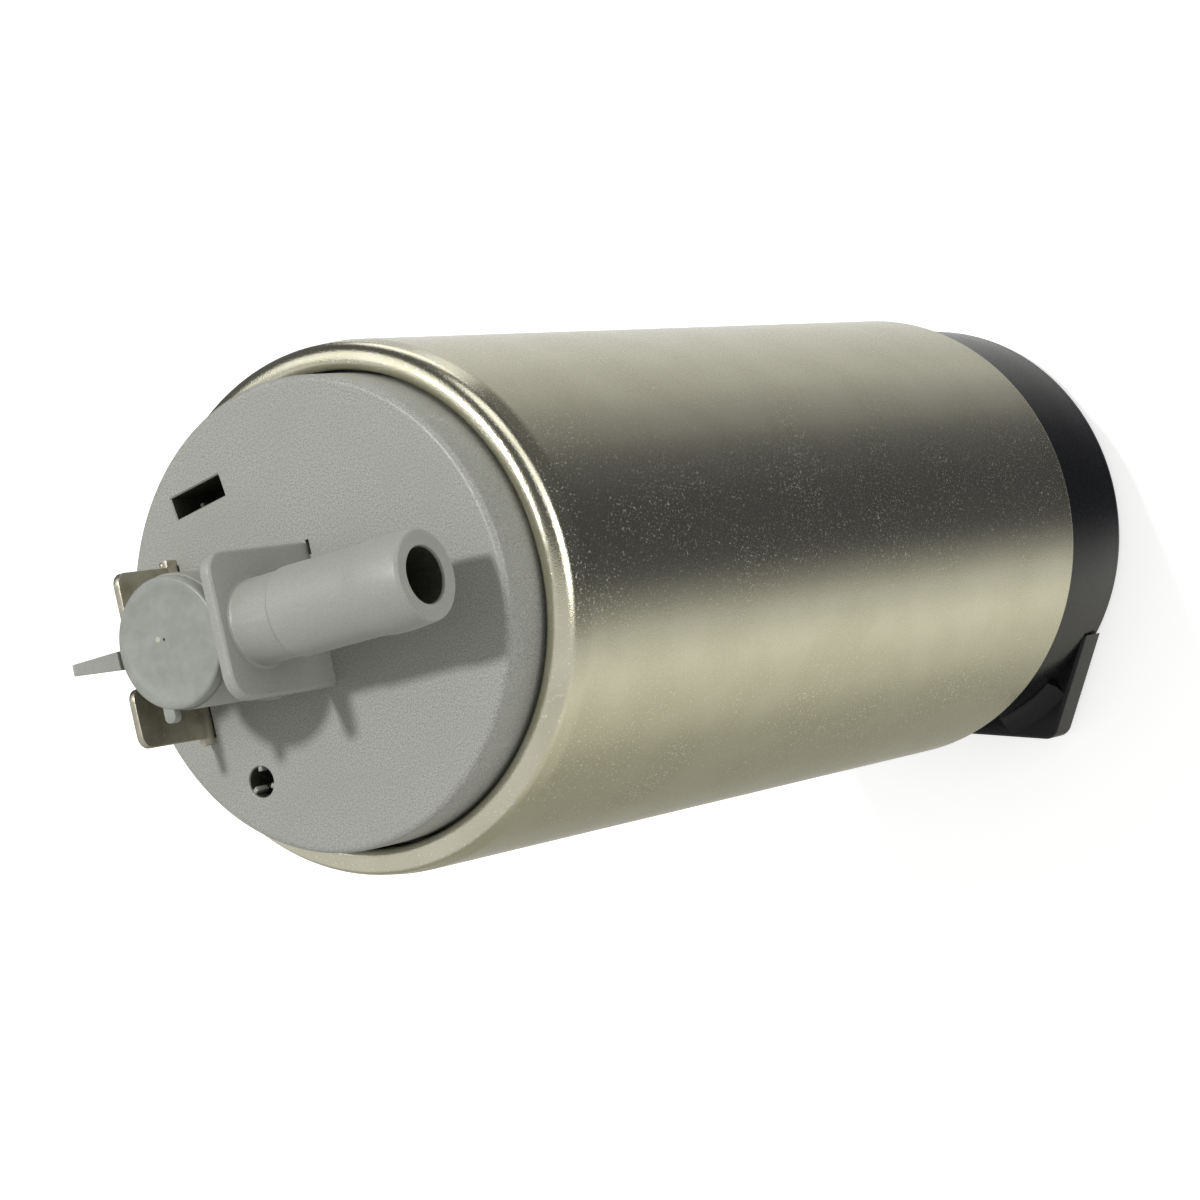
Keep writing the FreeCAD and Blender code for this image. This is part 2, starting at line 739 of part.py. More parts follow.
def makeStator():
    """Flux ring with two arc magnets and the sprung clips between them."""
    tube("flux_ring", f"{magnetOuter} + press_gap", bodyRadius, motorLength, casingTop)
    length = f"({motorLength} - magnet_inset * 2)"
    level = f"{casingTop} + magnet_inset"
    for label, turn in (("magnet_right", "0"), ("magnet_left", "180")):
        body = newPiece(label, z=level, turn=turn)
        turned(body, [(magnetInner, "0"), (magnetOuter, "0"), (magnetOuter, length), (magnetInner, length)],
               "magnet_angle")
    clipInner = f"({magnetOuter} - clip_thickness)"
    for label, turn in (("magnet_clip_rear", "90"), ("magnet_clip_front", "270")):
        body = newPiece(label, z=level, turn=turn)
        turned(body, [(clipInner, "0"), (magnetOuter, "0"), (magnetOuter, length), (clipInner, length)],
               "180 - magnet_angle - clip_clear")


def makeHolder():
    """Plate with the upper bush, two brush wells, fuel ports and choke sockets."""
    body = newPiece("bearing_holder", z=holderBase)
    padRound(body, bodyRadius, "0", "holder_height")
    padRound(body, f"{bushOuter} + press_gap + well_wall", "0", "bush_length")
    wellTop = f"{roofBase} - well_drop - {holderBase}"
    for side in ("brush_offset", "0 - brush_offset"):
        wall = sketchOn(body, "XY_Plane")
        addRectangle(wall, wellWidth, wellWidth, y=side)
        pad(wall, wellTop)
    for side in ("brush_offset", "0 - brush_offset"):
        hole = sketchOn(body, "XY_Plane")
        addRectangle(hole, holeWidth, holeWidth, y=side)
        cut(hole, wellTop)
    cutRound(body, f"{bushOuter} + press_gap", "0", "bush_length")
    portInner = "(blade_x + strip_width)"
    port = grooved(body, [(portInner, "0"), (skirtInner, "0"), (skirtInner, "holder_height"),
                          (portInner, "holder_height")], "port_angle")
    ringOf(port, "port_count")
    for side in (chokeY, f"0 - {chokeY}"):
        cutRound(body, "choke_radius + press_gap", "holder_height - socket_depth", "socket_depth", chokeX, side)
    tube("upper_bush", boreRadius, bushOuter, "bush_length", holderBase)


def makeBrushes():
    """Carbon brushes with their springs and flexible leads."""
    for name, side in (("left", "brush_offset"), ("right", "0 - brush_offset")):
        brush = newPiece("brush_" + name, y=side, z=f"{commutatorTop} + run_gap")
        outline = sketchOn(brush, "XY_Plane")
        addRectangle(outline, "brush_width", "brush_width")
        pad(outline, "brush_height")
        room = f"({roofBase} - {brushTop})"
        level = f"{brushTop} + press_gap"
        coil("brush_spring_" + name, "brush_coil", "spring_wire", "brush_turns", room, "0", side, level)
        rod("brush_lead_" + name, "lead_radius", f"{room} - press_gap * 2", level, y=side)


def makeChokes():
    """Ferrite rods with their coils, and the strips that feed them."""
    for name, side in (("left", chokeY), ("right", f"0 - {chokeY}")):
        rod("choke_core_" + name, "choke_radius", "choke_height", f"{holderTop} - socket_depth", chokeX, side)
        coil("choke_coil_" + name, "choke_radius + choke_wire + press_gap", "choke_wire", "choke_turns",
             "(choke_height - socket_depth - strip_height)", chokeX, side,
             f"{holderTop} + strip_height + press_gap")
    for name, (side, sign) in bladeEnds.items():
        radius = f"sqrt(blade_x ^ 2 + {side} ^ 2)"
        bladeTurn = f"(180 - atan({side} / blade_x) / 1deg)"
        body = newPiece("bus_strip_" + name, z=holderTop, turn=f"{sign} * ({bladeTurn} + choke_angle) / 2")
        inner, outer = f"({radius} - strip_width / 2)", f"({radius} + strip_width / 2)"
        turned(body, [(inner, "0"), (outer, "0"), (outer, "strip_height"), (inner, "strip_height")],
               f"{bladeTurn} - choke_angle + strip_lap")


def makeTerminals():
    """Tinned blades that stand through the cap's roof onto the strips."""
    half = "(blade_width / 2)"
    tail = "(tail_width / 2)"
    outer = "(blade_width / 2 + blade_shoulder)"
    foot = f"0 - ({capFace} - {holderTop} - strip_height)"
    shelf = "0 - roof_thickness"
    for name, (side, sign) in bladeEnds.items():
        rise = name + "_rise"
        body = newPiece("terminal_" + name, "0 - blade_x", f"{sign} * {side}", capFace)
        outline = sketchOn(body, "YZ_Plane", "0 - blade_thickness / 2")
        corners = [
            (tail, foot), (tail, shelf), (half, shelf), (half, "0"), (outer, "0"),
            (outer, "shoulder_height"), (half, "shoulder_height"), (half, rise),
            (f"0 - {half}", rise), (f"0 - {half}", shelf), (f"0 - {tail}", shelf), (f"0 - {tail}", foot),
        ]
        addPolygon(outline, [(f"{sign} * ({y})", z) for y, z in corners])
        pad(outline, "blade_thickness")
        for corner in (half, f"0 - {half}"):
            dress(body, "Fillet", "blade_corner", lineEdge(y=corner, z=rise))


def addTower(body):
    """Valve tower, keying fin, cross plate and barbed nipple on the cap's face."""
    padRound(body, "tower_radius", "0", f"{towerHeight} - plug_head", f"0 - {towerX}")
    back = f"({towerX} + tower_radius)"
    rim = f"({towerHeight} - plug_head)"
    for inner, height in ((f"({back} - fin_root)", rim), (f"({back} + press_gap)", finHeight)):
        fin = sketchOn(body, "XY_Plane")
        addPolygon(fin, [
            (f"0 - {inner}", "fin_root / 2 - fin_side"), ("0 - fin_reach", "fin_tip / 2 - fin_side"),
            ("0 - fin_reach", "0 - fin_tip / 2 - fin_side"), (f"0 - {inner}", "0 - fin_root / 2 - fin_side"),
        ])
        pad(fin, height)
    plate = sketchOn(body, "XY_Plane")
    addRectangle(plate, "plate_thickness", "plate_half * 2", "plate_thickness / 2 - plate_back")
    plateTop = "(nipple_height + plate_over)"
    pad(plate, plateTop)
    for corner in ("plate_half", "0 - plate_half"):
        dress(body, "Fillet", "plate_corner", lineEdge(y=corner, z=plateTop))
    turned(body, [
        ("0", "0"), ("0", "root_radius"), ("root_end", "root_radius"), ("root_end", "nipple_radius"),
        (f"{barbStart} - barb_rise", "nipple_radius"), (barbStart, "barb_radius"), (barbEnd, "barb_radius"),
        ("nipple_tip", "nipple_radius"), ("nipple_tip", "0"),
    ], role="XZ_Plane", shiftY="nipple_height", axis="H_Axis")


def cutTower(body):
    """Valve chamber, its seat and the bore of the nipple."""
    bore = sketchOn(body, "YZ_Plane", f"0 - {towerX}")
    addCircle(bore, "bore_radius", y="nipple_height")
    cut(bore, f"{towerX} + nipple_tip")
    cutRound(body, "valve_radius", "0 - seat_level", f"seat_level + {towerHeight}", f"0 - {towerX}")
    cutRound(body, "seat_radius", "0 - roof_thickness", "roof_thickness", f"0 - {towerX}")


def addSlot(body):
    """Blind clip slot with a boss round it below the roof."""
    place = ("0 - slot_x", "slot_y")
    boss = sketchOn(body, "XY_Plane", "0 - slot_depth - boss_wall", *place, turn="slot_turn")
    addRectangle(boss, "slot_length + boss_wall * 2", "slot_width + boss_wall * 2")
    pad(boss, "slot_depth")
    slot = sketchOn(body, "XY_Plane", "0 - slot_depth", *place, turn="slot_turn")
    addRectangle(slot, "slot_length", "slot_width")
    cut(slot, "slot_depth")


def addRelief(body):
    """Well of the relief valve and its ribbed outlet hole."""
    x, y = "0 - relief_x", "0 - relief_y"
    foot = "0 - roof_thickness - relief_drop"
    padRound(body, "relief_well + boss_wall", foot, "relief_drop + roof_thickness / 2", x, y)
    cutRound(body, "relief_well", foot, "relief_drop + roof_thickness - relief_land", x, y)
    cutRound(body, "relief_radius", "0 - relief_land", "relief_land", x, y)
    for i in range(ribsInRelief):
        rib = sketchOn(body, "XY_Plane", "0 - relief_land", x, y, f"90 + {i} * 360 / {ribsInRelief}")
        addRectangle(rib, "relief_rib * 2", "relief_rib", "relief_radius")
        pad(rib, "relief_land - relief_sink")


def makeCap():
    """Light grey outlet moulding, modelled down and up from its face."""
    body = newPiece("outlet_cap", z=capFace)
    gutter = f"0 - {flangeDrop} - cap_gutter"
    turned(body, [
        ("0", "0 - roof_thickness"), (skirtInner, "0 - roof_thickness"), (skirtInner, f"0 - {skirtDrop}"),
        (bodyRadius, f"0 - {skirtDrop}"), (bodyRadius, f"0 - {flangeDrop}"), (lipBore, f"0 - {flangeDrop}"),
        (lipBore, gutter), (capRadius, gutter), (capRadius, "0"), ("0", "0"),
    ])
    dress(body, "Fillet", "cap_edge", ringEdge(capRadius, "0"))
    addTower(body)
    cutTower(body)
    addSlot(body)
    addRelief(body)
    for side, sign in bladeEnds.values():
        slot = sketchOn(body, "XY_Plane", "0 - roof_thickness")
        addRectangle(slot, "blade_thickness + press_gap * 2", "blade_width + press_gap * 2",
                     "0 - blade_x", f"{sign} * {side}")
        cut(slot, "roof_thickness")
    sealGroove(body, f"(0 - {flangeDrop} - cap_gutter - seal_drop)")


def makePlug():
    """Plug on top of the tower, with the guide of the check valve's stem."""
    body = newPiece("tower_plug", f"0 - {towerX}", z=plugSeat)
    head, spigot = "(tower_radius - tower_sink - press_gap)", "(valve_radius - press_gap)"
    stemRoom = "(stem_radius + slide_gap)"
    guide = "(stem_radius + slide_gap + guide_wall)"
    base = "(0 - plug_spigot)"
    foot = f"({poppetTop} + stem_length - stem_overlap - {plugSeat})"
    turned(body, [
        ("0", base), (stemRoom, base), (stemRoom, foot), (guide, foot), (guide, base), (spigot, base),
        (spigot, "0"), (head, "0"), (head, "plug_head"), ("0", "plug_head"),
    ])
    gate = sketchOn(body, "XY_Plane")
    addRectangle(gate, "gate_width", "gate_reach * 2", "0 - gate_side", "0 - tower_radius")
    pad(gate, "gate_height")


def makeCheckValve():
    """Poppet with its stem and rubber seal, closed by a spring under the plug."""
    x = f"0 - {towerX}"
    sealBore = "(stem_radius + press_gap)"
    tube("check_seal", sealBore, "poppet_radius", "poppet_seal", seatTop, x)
    body = newPiece("check_poppet", x, z=f"{seatTop} + poppet_seal")
    rim = "(poppet_radius)"
    turned(body, [
        ("0", "0 - poppet_seal"), ("stem_radius", "0 - poppet_seal"), ("stem_radius", "0"), (rim, "0"),
        (rim, "poppet_height"), ("stem_radius", "poppet_height"),
        ("stem_radius", "poppet_height + stem_length"), ("0", "poppet_height + stem_length"),
    ])
    coil("check_spring", "check_coil", "spring_wire", "check_turns", f"({plugBase} - {poppetTop})",
         x, "0", f"{poppetTop} + press_gap")


def makeReliefValve():
    """Seat, ball and spring under the ribbed hole."""
    x, y = "0 - relief_x", "0 - relief_y"
    tube("relief_seat", "relief_seat_bore", "relief_well - press_gap", "relief_seat_height", reliefBase, x, y)
    ball = doc.addObject("Part::Sphere", "relief_ball")
    ball.Label = "relief_ball"
    ball.setExpression("Radius", bound("ball_radius"))
    seat(ball, x, y, ballCentre, "0")
    pieces.append(ball)
    foot = f"({ballCentre} + {ballSeatRise})"
    room = f"({capFace} - relief_land - {foot})"
    coil("relief_spring", "relief_coil", "relief_wire", "relief_turns", room, x, y, foot)


makeCan()
makeCover()
makeSeal("cover_seal", "cover_height - seal_drop")
makeCasing()
makePumpStage()
makeShaft()
makeArmature()
makeCommutator()
makeStator()
makeHolder()
makeBrushes()
makeChokes()
makeTerminals()
makeCap()
makeSeal("cap_seal", f"{capFace} - {flangeDrop} - cap_gutter - seal_drop")
makePlug()
makeCheckValve()
makeReliefValve()

doc.recompute()
for item in doc.Objects:
    if "Invalid" in item.State or "Error" in item.State:
        raise RuntimeError(f"{item.Label} did not build")
for piece in pieces:
    if piece.Shape.isNull() or not piece.Shape.isValid():
        raise RuntimeError(f"{piece.Label} has no valid shape")

os.makedirs("parts", exist_ok=True)
for piece in pieces:
    piece.Shape.exportStep(f"parts/{piece.Label}.step")
    print(piece.Label, len(piece.Shape.Solids), round(piece.Shape.Volume, 1))
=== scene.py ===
import math

import bmesh
import bpy
from mathutils import Matrix, Vector


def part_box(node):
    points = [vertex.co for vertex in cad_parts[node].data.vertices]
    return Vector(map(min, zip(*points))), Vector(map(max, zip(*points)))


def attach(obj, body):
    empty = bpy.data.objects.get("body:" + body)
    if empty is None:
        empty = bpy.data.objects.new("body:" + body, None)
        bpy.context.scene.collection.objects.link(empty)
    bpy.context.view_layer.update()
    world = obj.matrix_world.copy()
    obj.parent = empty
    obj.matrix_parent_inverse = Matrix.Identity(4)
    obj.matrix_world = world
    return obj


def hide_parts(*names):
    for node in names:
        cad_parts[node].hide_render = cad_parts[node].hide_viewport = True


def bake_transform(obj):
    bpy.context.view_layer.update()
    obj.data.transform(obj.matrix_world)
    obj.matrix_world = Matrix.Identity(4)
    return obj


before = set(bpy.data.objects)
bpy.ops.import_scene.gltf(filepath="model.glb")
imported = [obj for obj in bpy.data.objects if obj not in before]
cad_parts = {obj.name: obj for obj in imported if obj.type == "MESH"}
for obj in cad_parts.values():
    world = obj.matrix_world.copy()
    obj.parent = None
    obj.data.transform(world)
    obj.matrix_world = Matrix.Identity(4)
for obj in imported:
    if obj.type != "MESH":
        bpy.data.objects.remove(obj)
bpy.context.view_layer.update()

mm = 0.001
weld = 0.000001   # metres under which two points are one
near = 0.05       # millimetres within which an edge or a face counts as lying there
over = 1.0        # millimetres that a joined or a cutting piece runs past the face it meets
along = 0.9       # a direction whose part along an axis is more than this counts as lying along it


# Tools of the bench

def addNode(tree, kind, inputs=None, **settings):
    node = tree.nodes.new("ShaderNode" + kind)
    for name, value in settings.items():
        setattr(node, name, value)
    for socket, value in (inputs or {}).items():
        if isinstance(value, bpy.types.NodeSocket):
            tree.links.new(value, node.inputs[socket])
        else:
            node.inputs[socket].default_value = value
    return node


def emptyTree(owner):
    owner.use_nodes = True
    owner.node_tree.nodes.clear()
    return owner.node_tree


def colourOf(hexText):
    # sRGB hex to the linear colour that a shader wants
    shades = [int(hexText[i:i + 2], 16) / 255 for i in (1, 3, 5)]
    return [s / 12.92 if s <= 0.04045 else ((s + 0.055) / 1.055) ** 2.4 for s in shades] + [1.0]


def clearSelection():
    if bpy.context.object and bpy.context.object.mode == "EDIT":
        closePiece()
    bpy.ops.object.select_all(action="DESELECT")


def selectOnly(piece):
    clearSelection()
    bpy.context.view_layer.objects.active = piece
    piece.select_set(True)


def startPiece(name):
    # the primitive just added gets its name, its place goes into the mesh, and it opens for editing
    piece = bpy.context.active_object
    piece.name = piece.data.name = name
    bpy.ops.object.transform_apply(location=True, rotation=True, scale=True)
    bpy.ops.object.mode_set(mode="EDIT")
    bpy.ops.mesh.select_mode(type="VERT")
    bpy.ops.mesh.select_all(action="SELECT")
    return piece


def openPiece(piece):
    selectOnly(piece)
    bpy.ops.object.mode_set(mode="EDIT")


def closePiece():
    bpy.ops.mesh.select_mode(type="VERT")
    bpy.ops.mesh.select_all(action="SELECT")
    bpy.ops.mesh.remove_doubles(threshold=weld)
    bpy.ops.mesh.delete_loose()
    bpy.ops.mesh.select_all(action="SELECT")
    bpy.ops.mesh.normals_make_consistent(inside=False)
    bpy.ops.object.mode_set(mode="OBJECT")


def turnPiece(piece, rotation, height=0.0):
    # turns a finished piece, lifts it, and puts both into its mesh
    selectOnly(piece)
    piece.rotation_euler = rotation
    piece.location = (0, 0, height * mm)
    bpy.ops.object.transform_apply(location=True, rotation=True, scale=True)
    return piece


def pick(kind, test):
    bpy.ops.mesh.select_mode(type=kind)
    bpy.ops.mesh.select_all(action="DESELECT")
    shape = bmesh.from_edit_mesh(bpy.context.edit_object.data)
    for part in {"VERT": shape.verts, "EDGE": shape.edges, "FACE": shape.faces}[kind]:
        if test(part):
            part.select_set(True)
    shape.select_flush_mode()
    bmesh.update_edit_mesh(bpy.context.edit_object.data)


def ringAt(radius, height, x=0.0, y=0.0):
    # edges of the ring with that radius and height, in millimetres
    def test(edge):
        return all(abs(math.hypot(v.co.x - x * mm, v.co.y - y * mm) - radius * mm) < near * mm
                   and abs(v.co.z - height * mm) < near * mm for v in edge.verts)
    return test


def edgeWhere(test):
    # gives the test an edge's middle in millimetres and its direction
    return lambda edge: test(*[(edge.verts[0].co[i] + edge.verts[1].co[i]) / 2 / mm for i in range(3)],
                             (edge.verts[1].co - edge.verts[0].co).normalized())


def soften(test, width, segments=3):
    pick("EDGE", test)
    bpy.ops.mesh.bevel(offset=width * mm, segments=segments, affect="EDGES", clamp_overlap=True)


def extrudePicked(x, y, z):
    bpy.ops.mesh.extrude_region_move(TRANSFORM_OT_translate={"value": (x * mm, y * mm, z * mm)})


def turnOnLathe(name, outline, x=0.0, y=0.0, steps=96, tubeWall=False):
    # outline is (radius, height) in millimetres, walked round the section
    clearSelection()
    radius, height = outline[0]
    bpy.ops.mesh.primitive_circle_add(vertices=steps, radius=radius * mm,
                                      location=(x * mm, y * mm, height * mm))
    piece = startPiece(name)
    for (oldRadius, oldHeight), (newRadius, newHeight) in zip(outline, outline[1:]):
        rise, grow = (newHeight - oldHeight) * mm, newRadius / oldRadius
        bpy.ops.mesh.extrude_edges_move(TRANSFORM_OT_translate={"value": (0, 0, rise)})
        bpy.ops.transform.resize(value=(grow, grow, 1), center_override=(x * mm, y * mm, newHeight * mm))
    if not tubeWall:
        bpy.ops.mesh.edge_face_add()
        pick("EDGE", ringAt(radius, height, x, y))
        bpy.ops.mesh.edge_face_add()
    bpy.ops.mesh.select_all(action="SELECT")
    bpy.ops.mesh.remove_doubles(threshold=weld)
    bpy.ops.mesh.normals_make_consistent(inside=False)
    return piece


def squareBlock(name, low, high, turn=0.0):
    # a block from its low to its high corner in millimetres, turned about its own middle
    clearSelection()
    middle = [(a + b) / 2 * mm for a, b in zip(low, high)]
    bpy.ops.mesh.primitive_cube_add(size=1, location=middle, rotation=(0, 0, math.radians(turn)),
                                    scale=[(b - a) * mm for a, b in zip(low, high)])
    return startPiece(name)


def combine(piece, tool, how):
    selectOnly(piece)
    step = piece.modifiers.new(how.lower(), "BOOLEAN")
    step.object, step.operation, step.solver = tool, how, "EXACT"
    bpy.ops.object.modifier_apply(modifier=step.name)
    bpy.data.objects.remove(tool)


def unite(piece, tool):
    combine(piece, tool, "UNION")


def carve(piece, tool):
    combine(piece, tool, "DIFFERENCE")


def assignSecond(piece, finish, test):
    # another finish on the faces that the test picks out
    piece.data.materials.append(finish)
    openPiece(piece)
    pick("FACE", test)
    piece.active_material_index = 1
    bpy.ops.object.material_slot_assign()
    closePiece()


def finishPiece(piece, slot, nodes, body="housing", smooth=32, second=None):
    selectOnly(piece)
    piece.data.materials.clear()
    piece.data.materials.append(finishes[slot])
    if second:
        assignSecond(piece, finishes[second[0]], second[1])
    bpy.ops.object.shade_smooth_by_angle(angle=math.radians(smooth))
    flat = piece.modifiers.new("weightedNormal", "WEIGHTED_NORMAL")
    flat.keep_sharp = True
    bpy.ops.object.modifier_apply(modifier=flat.name)
    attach(piece, body)
    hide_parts(*nodes)
    print("made", piece.name, len(piece.data.polygons), "faces")


# Finishes. Grain sizes are in millimetres.

def rubEdges(tree, colour, look, edgeColour):
    # corners that stand proud are rubbed to the edge colour
    proud = addNode(tree, "NewGeometry").outputs["Pointiness"]
    worn = addNode(tree, "MapRange", {"Value": proud, "From Min": 0.53, "From Max": 0.62,
                                      "To Max": look["wear"]})
    return addNode(tree, "Mix", {0: worn.outputs[0], 6: colour, 7: colourOf(edgeColour)},
                   data_type="RGBA").outputs[2]


def sheenOf(tree, grain, look):
    # roughness that follows the grain
    low, high = look["rough"]
    return addNode(tree, "MapRange", {"Value": grain, "From Min": 0.3, "From Max": 0.7,
                                      "To Min": low, "To Max": high}).outputs[0]


def closeTree(tree, look, grain, inputs):
    # grain as bump, then the surface itself
    bump = addNode(tree, "Bump", {"Strength": look["bump"], "Distance": look["depth"] * mm, "Height": grain})
    shader = addNode(tree, "BsdfPrincipled", {"Normal": bump.outputs[0], **inputs})
    addNode(tree, "OutputMaterial", {"Surface": shader.outputs[0]})


def metalFinish(name, look):
    # plated or bare metal: the plate's grain breaks up a soft reflection, and rubbed edges shine
    material = bpy.data.materials.new(name)
    tree = emptyTree(material)
    place = addNode(tree, "TexCoord").outputs["Object"]
    drawn = addNode(tree, "Mapping", {"Vector": place, "Scale": look.get("drawn", (1, 1, 1))})
    grain = addNode(tree, "TexNoise", {"Vector": drawn.outputs[0], "Scale": 1 / (look["grain"] * mm),
                                       "Detail": 3}).outputs[0]
    cloud = addNode(tree, "TexNoise", {"Vector": place, "Scale": 1 / (look["cloud"] * mm), "Detail": 4})
    cloudy = addNode(tree, "MapRange", {"Value": cloud.outputs[0], "From Min": 0.35, "From Max": 0.65})
    body = addNode(tree, "Mix", {0: cloudy.outputs[0], 6: colourOf(look["colour"]),
                                 7: colourOf(look["stain"])}, data_type="RGBA")
    speck = addNode(tree, "TexNoise", {"Vector": place, "Scale": 1 / (look["speck"] * mm), "Detail": 2})
    gather = addNode(tree, "Math", {0: cloud.outputs[0], 1: look.get("gather", 0.0), 2: speck.outputs[0]},
                     operation="MULTIPLY_ADD")
    bright = addNode(tree, "MapRange", {"Value": gather.outputs[0], "From Min": look["speckFrom"],
                                        "From Max": look["speckFrom"] + 0.1, "To Max": look["speckDepth"]})
    marked = addNode(tree, "Mix", {0: bright.outputs[0], 6: body.outputs[2], 7: colourOf(look["bright"])},
                     data_type="RGBA")
    rough = addNode(tree, "Math", {0: bright.outputs[0], 1: look.get("scuff", 0.1),
                                   2: sheenOf(tree, grain, look)}, operation="MULTIPLY_ADD")
    closeTree(tree, look, grain, {"Base Color": rubEdges(tree, marked.outputs[2], look, look["bright"]),
                                  "Roughness": rough.outputs[0], "Metallic": 1.0})
    return material


def mouldedFinish(name, look):
    # moulded or pressed material: fine grain, mottle from its filler, a sheen that varies
    material = bpy.data.materials.new(name)
    tree = emptyTree(material)
    place = addNode(tree, "TexCoord").outputs["Object"]
    mottle = addNode(tree, "TexNoise", {"Vector": place, "Scale": 1 / (look["mottle"] * mm), "Detail": 3,
                                        "Roughness": 0.6})
    patch = addNode(tree, "TexNoise", {"Vector": place, "Scale": 1 / (look["patch"] * mm), "Detail": 2})
    grain = addNode(tree, "TexNoise", {"Vector": place, "Scale": 1 / (look["grain"] * mm),
                                       "Detail": 2}).outputs[0]
    spread = addNode(tree, "MapRange", {"Value": mottle.outputs[0], "From Min": 0.36, "From Max": 0.66})
    # above a height the mottle is calmer; the default lies far over the pump
    calmFrom = look.get("calmFrom", 900)
    height = addNode(tree, "SeparateXYZ", {0: place})
    calm = addNode(tree, "MapRange", {"Value": height.outputs[2], "From Min": calmFrom * mm,
                                      "From Max": (calmFrom + 0.2) * mm, "To Min": 1, "To Max": 0.35})
    shown = addNode(tree, "Mix", {0: calm.outputs[0], 2: 0.5, 3: spread.outputs[0]}, data_type="FLOAT")
    body = addNode(tree, "Mix", {0: shown.outputs[0], 6: colourOf(look["dark"]), 7: colourOf(look["pale"])},
                   data_type="RGBA")
    tinted = addNode(tree, "MapRange", {"Value": patch.outputs[0], "From Min": 0.4, "From Max": 0.7,
                                        "To Max": look["patchDepth"]})
    shaded = addNode(tree, "Mix", {0: tinted.outputs[0], 6: body.outputs[2], 7: colourOf(look["stain"])},
                     data_type="RGBA")
    closeTree(tree, look, grain, {"Base Color": rubEdges(tree, shaded.outputs[2], look, look["pale"]),
                                  "Roughness": sheenOf(tree, grain, look), "IOR": look["ior"]})
    return material


metals = {
    # nickel-zinc plated drawn sheet: satin, faintly warm, with pale pinprick specks
    "nickel_plated_steel": ("platedCanSteel", {
        "colour": "#D3D0B9", "stain": "#CAC7AE", "bright": "#F4F3EA", "grain": 0.16, "cloud": 7.0,
        "speck": 0.2, "speckFrom": 0.745, "speckDepth": 0.75, "gather": 0.25, "scuff": 0.4, "wear": 0.15,
        "rough": (0.18, 0.29), "bump": 0.5, "depth": 0.012}),
    # the same plate burnished where the edge was rolled over, smoother, and painted a little paler there as
    # painted light on the lip's top
    "rolled_lip_burnish_and_light": ("rolledLipBurnishAndPaintedLight", {
        "colour": "#DAD7C2", "stain": "#CFCCB3", "bright": "#F8F8F4", "grain": 0.13, "cloud": 6.0,
        "speck": 0.25, "speckFrom": 0.62, "speckDepth": 0.5, "wear": 0.1, "rough": (0.1, 0.2), "bump": 0.8,
        "depth": 0.022, "scuff": 0.2}),
    # hot-tinned brass blade: olive grey with brighter sheared edges
    "tinned_brass": ("tinnedBrass", {
        "colour": "#B3AF9F", "stain": "#96917C", "bright": "#DAD6CA", "grain": 0.15, "cloud": 2.0,
        "speck": 0.3, "speckFrom": 0.66, "speckDepth": 0.5, "wear": 0.6, "rough": (0.3, 0.48), "bump": 0.3,
        "depth": 0.01}),
    # centreless ground shaft steel: fine rings of grinding, near mirror
    "ground_steel": ("groundShaftSteel", {
        "colour": "#C9CACB", "stain": "#B9BABB", "bright": "#E6E7E8", "grain": 0.1, "cloud": 4.0,
        "speck": 0.3, "speckFrom": 0.75, "speckDepth": 0.3, "wear": 0.3, "rough": (0.12, 0.24),
        "bump": 0.15, "depth": 0.004, "drawn": (1, 1, 8)}),
    # sintered bronze: open dark pores in a dull golden brown
    "sintered_bronze": ("sinteredBronze", {
        "colour": "#9C7A4C", "stain": "#86653C", "bright": "#5A4225", "grain": 0.2, "cloud": 1.5,
        "speck": 0.25, "speckFrom": 0.58, "speckDepth": 0.8, "wear": 0.1, "rough": (0.4, 0.6), "bump": 0.5,
        "depth": 0.02}),
    # stacked silicon steel sheet: blue-grey, thin lines where sheets meet
    "electrical_steel": ("laminatedCoreSteel", {
        "colour": "#8B8F93", "stain": "#787C82", "bright": "#B5B8BA", "grain": 0.5, "cloud": 6.0,
        "speck": 0.4, "speckFrom": 0.7, "speckDepth": 0.4, "wear": 0.3, "rough": (0.3, 0.5), "bump": 0.6,
        "depth": 0.03, "drawn": (0.05, 0.05, 1)}),
    # polyester enamel over copper wire: glossy red-brown metal
    "enamelled_copper": ("enamelledCopperWire", {
        "colour": "#B5622F", "stain": "#9C4C22", "bright": "#DB8A52", "grain": 0.6, "cloud": 3.0,
        "speck": 0.4, "speckFrom": 0.7, "speckDepth": 0.3, "wear": 0.2, "rough": (0.2, 0.34), "bump": 0.7,
        "depth": 0.12, "drawn": (1, 1, 0.35)}),
    # the relief valve's spring and ball, painted dark brown as the shade down in their hole
    "varnished_steel": ("steelPaintedDarkInHole", {
        "colour": "#3A352B", "stain": "#2A261E", "bright": "#5A5446", "grain": 0.1, "cloud": 1.0,
        "speck": 0.2, "speckFrom": 0.72, "speckDepth": 0.3, "wear": 0.1, "rough": (0.45, 0.6), "bump": 0.2,
        "depth": 0.006}),
    # hard drawn stainless wire: smooth, slightly dark
    "spring_steel": ("drawnSpringWire", {
        "colour": "#BDBDBB", "stain": "#A6A6A3", "bright": "#DEDEDC", "grain": 0.1, "cloud": 1.0,
        "speck": 0.2, "speckFrom": 0.72, "speckDepth": 0.3, "wear": 0.2, "rough": (0.18, 0.3),
        "bump": 0.15, "depth": 0.004}),
}

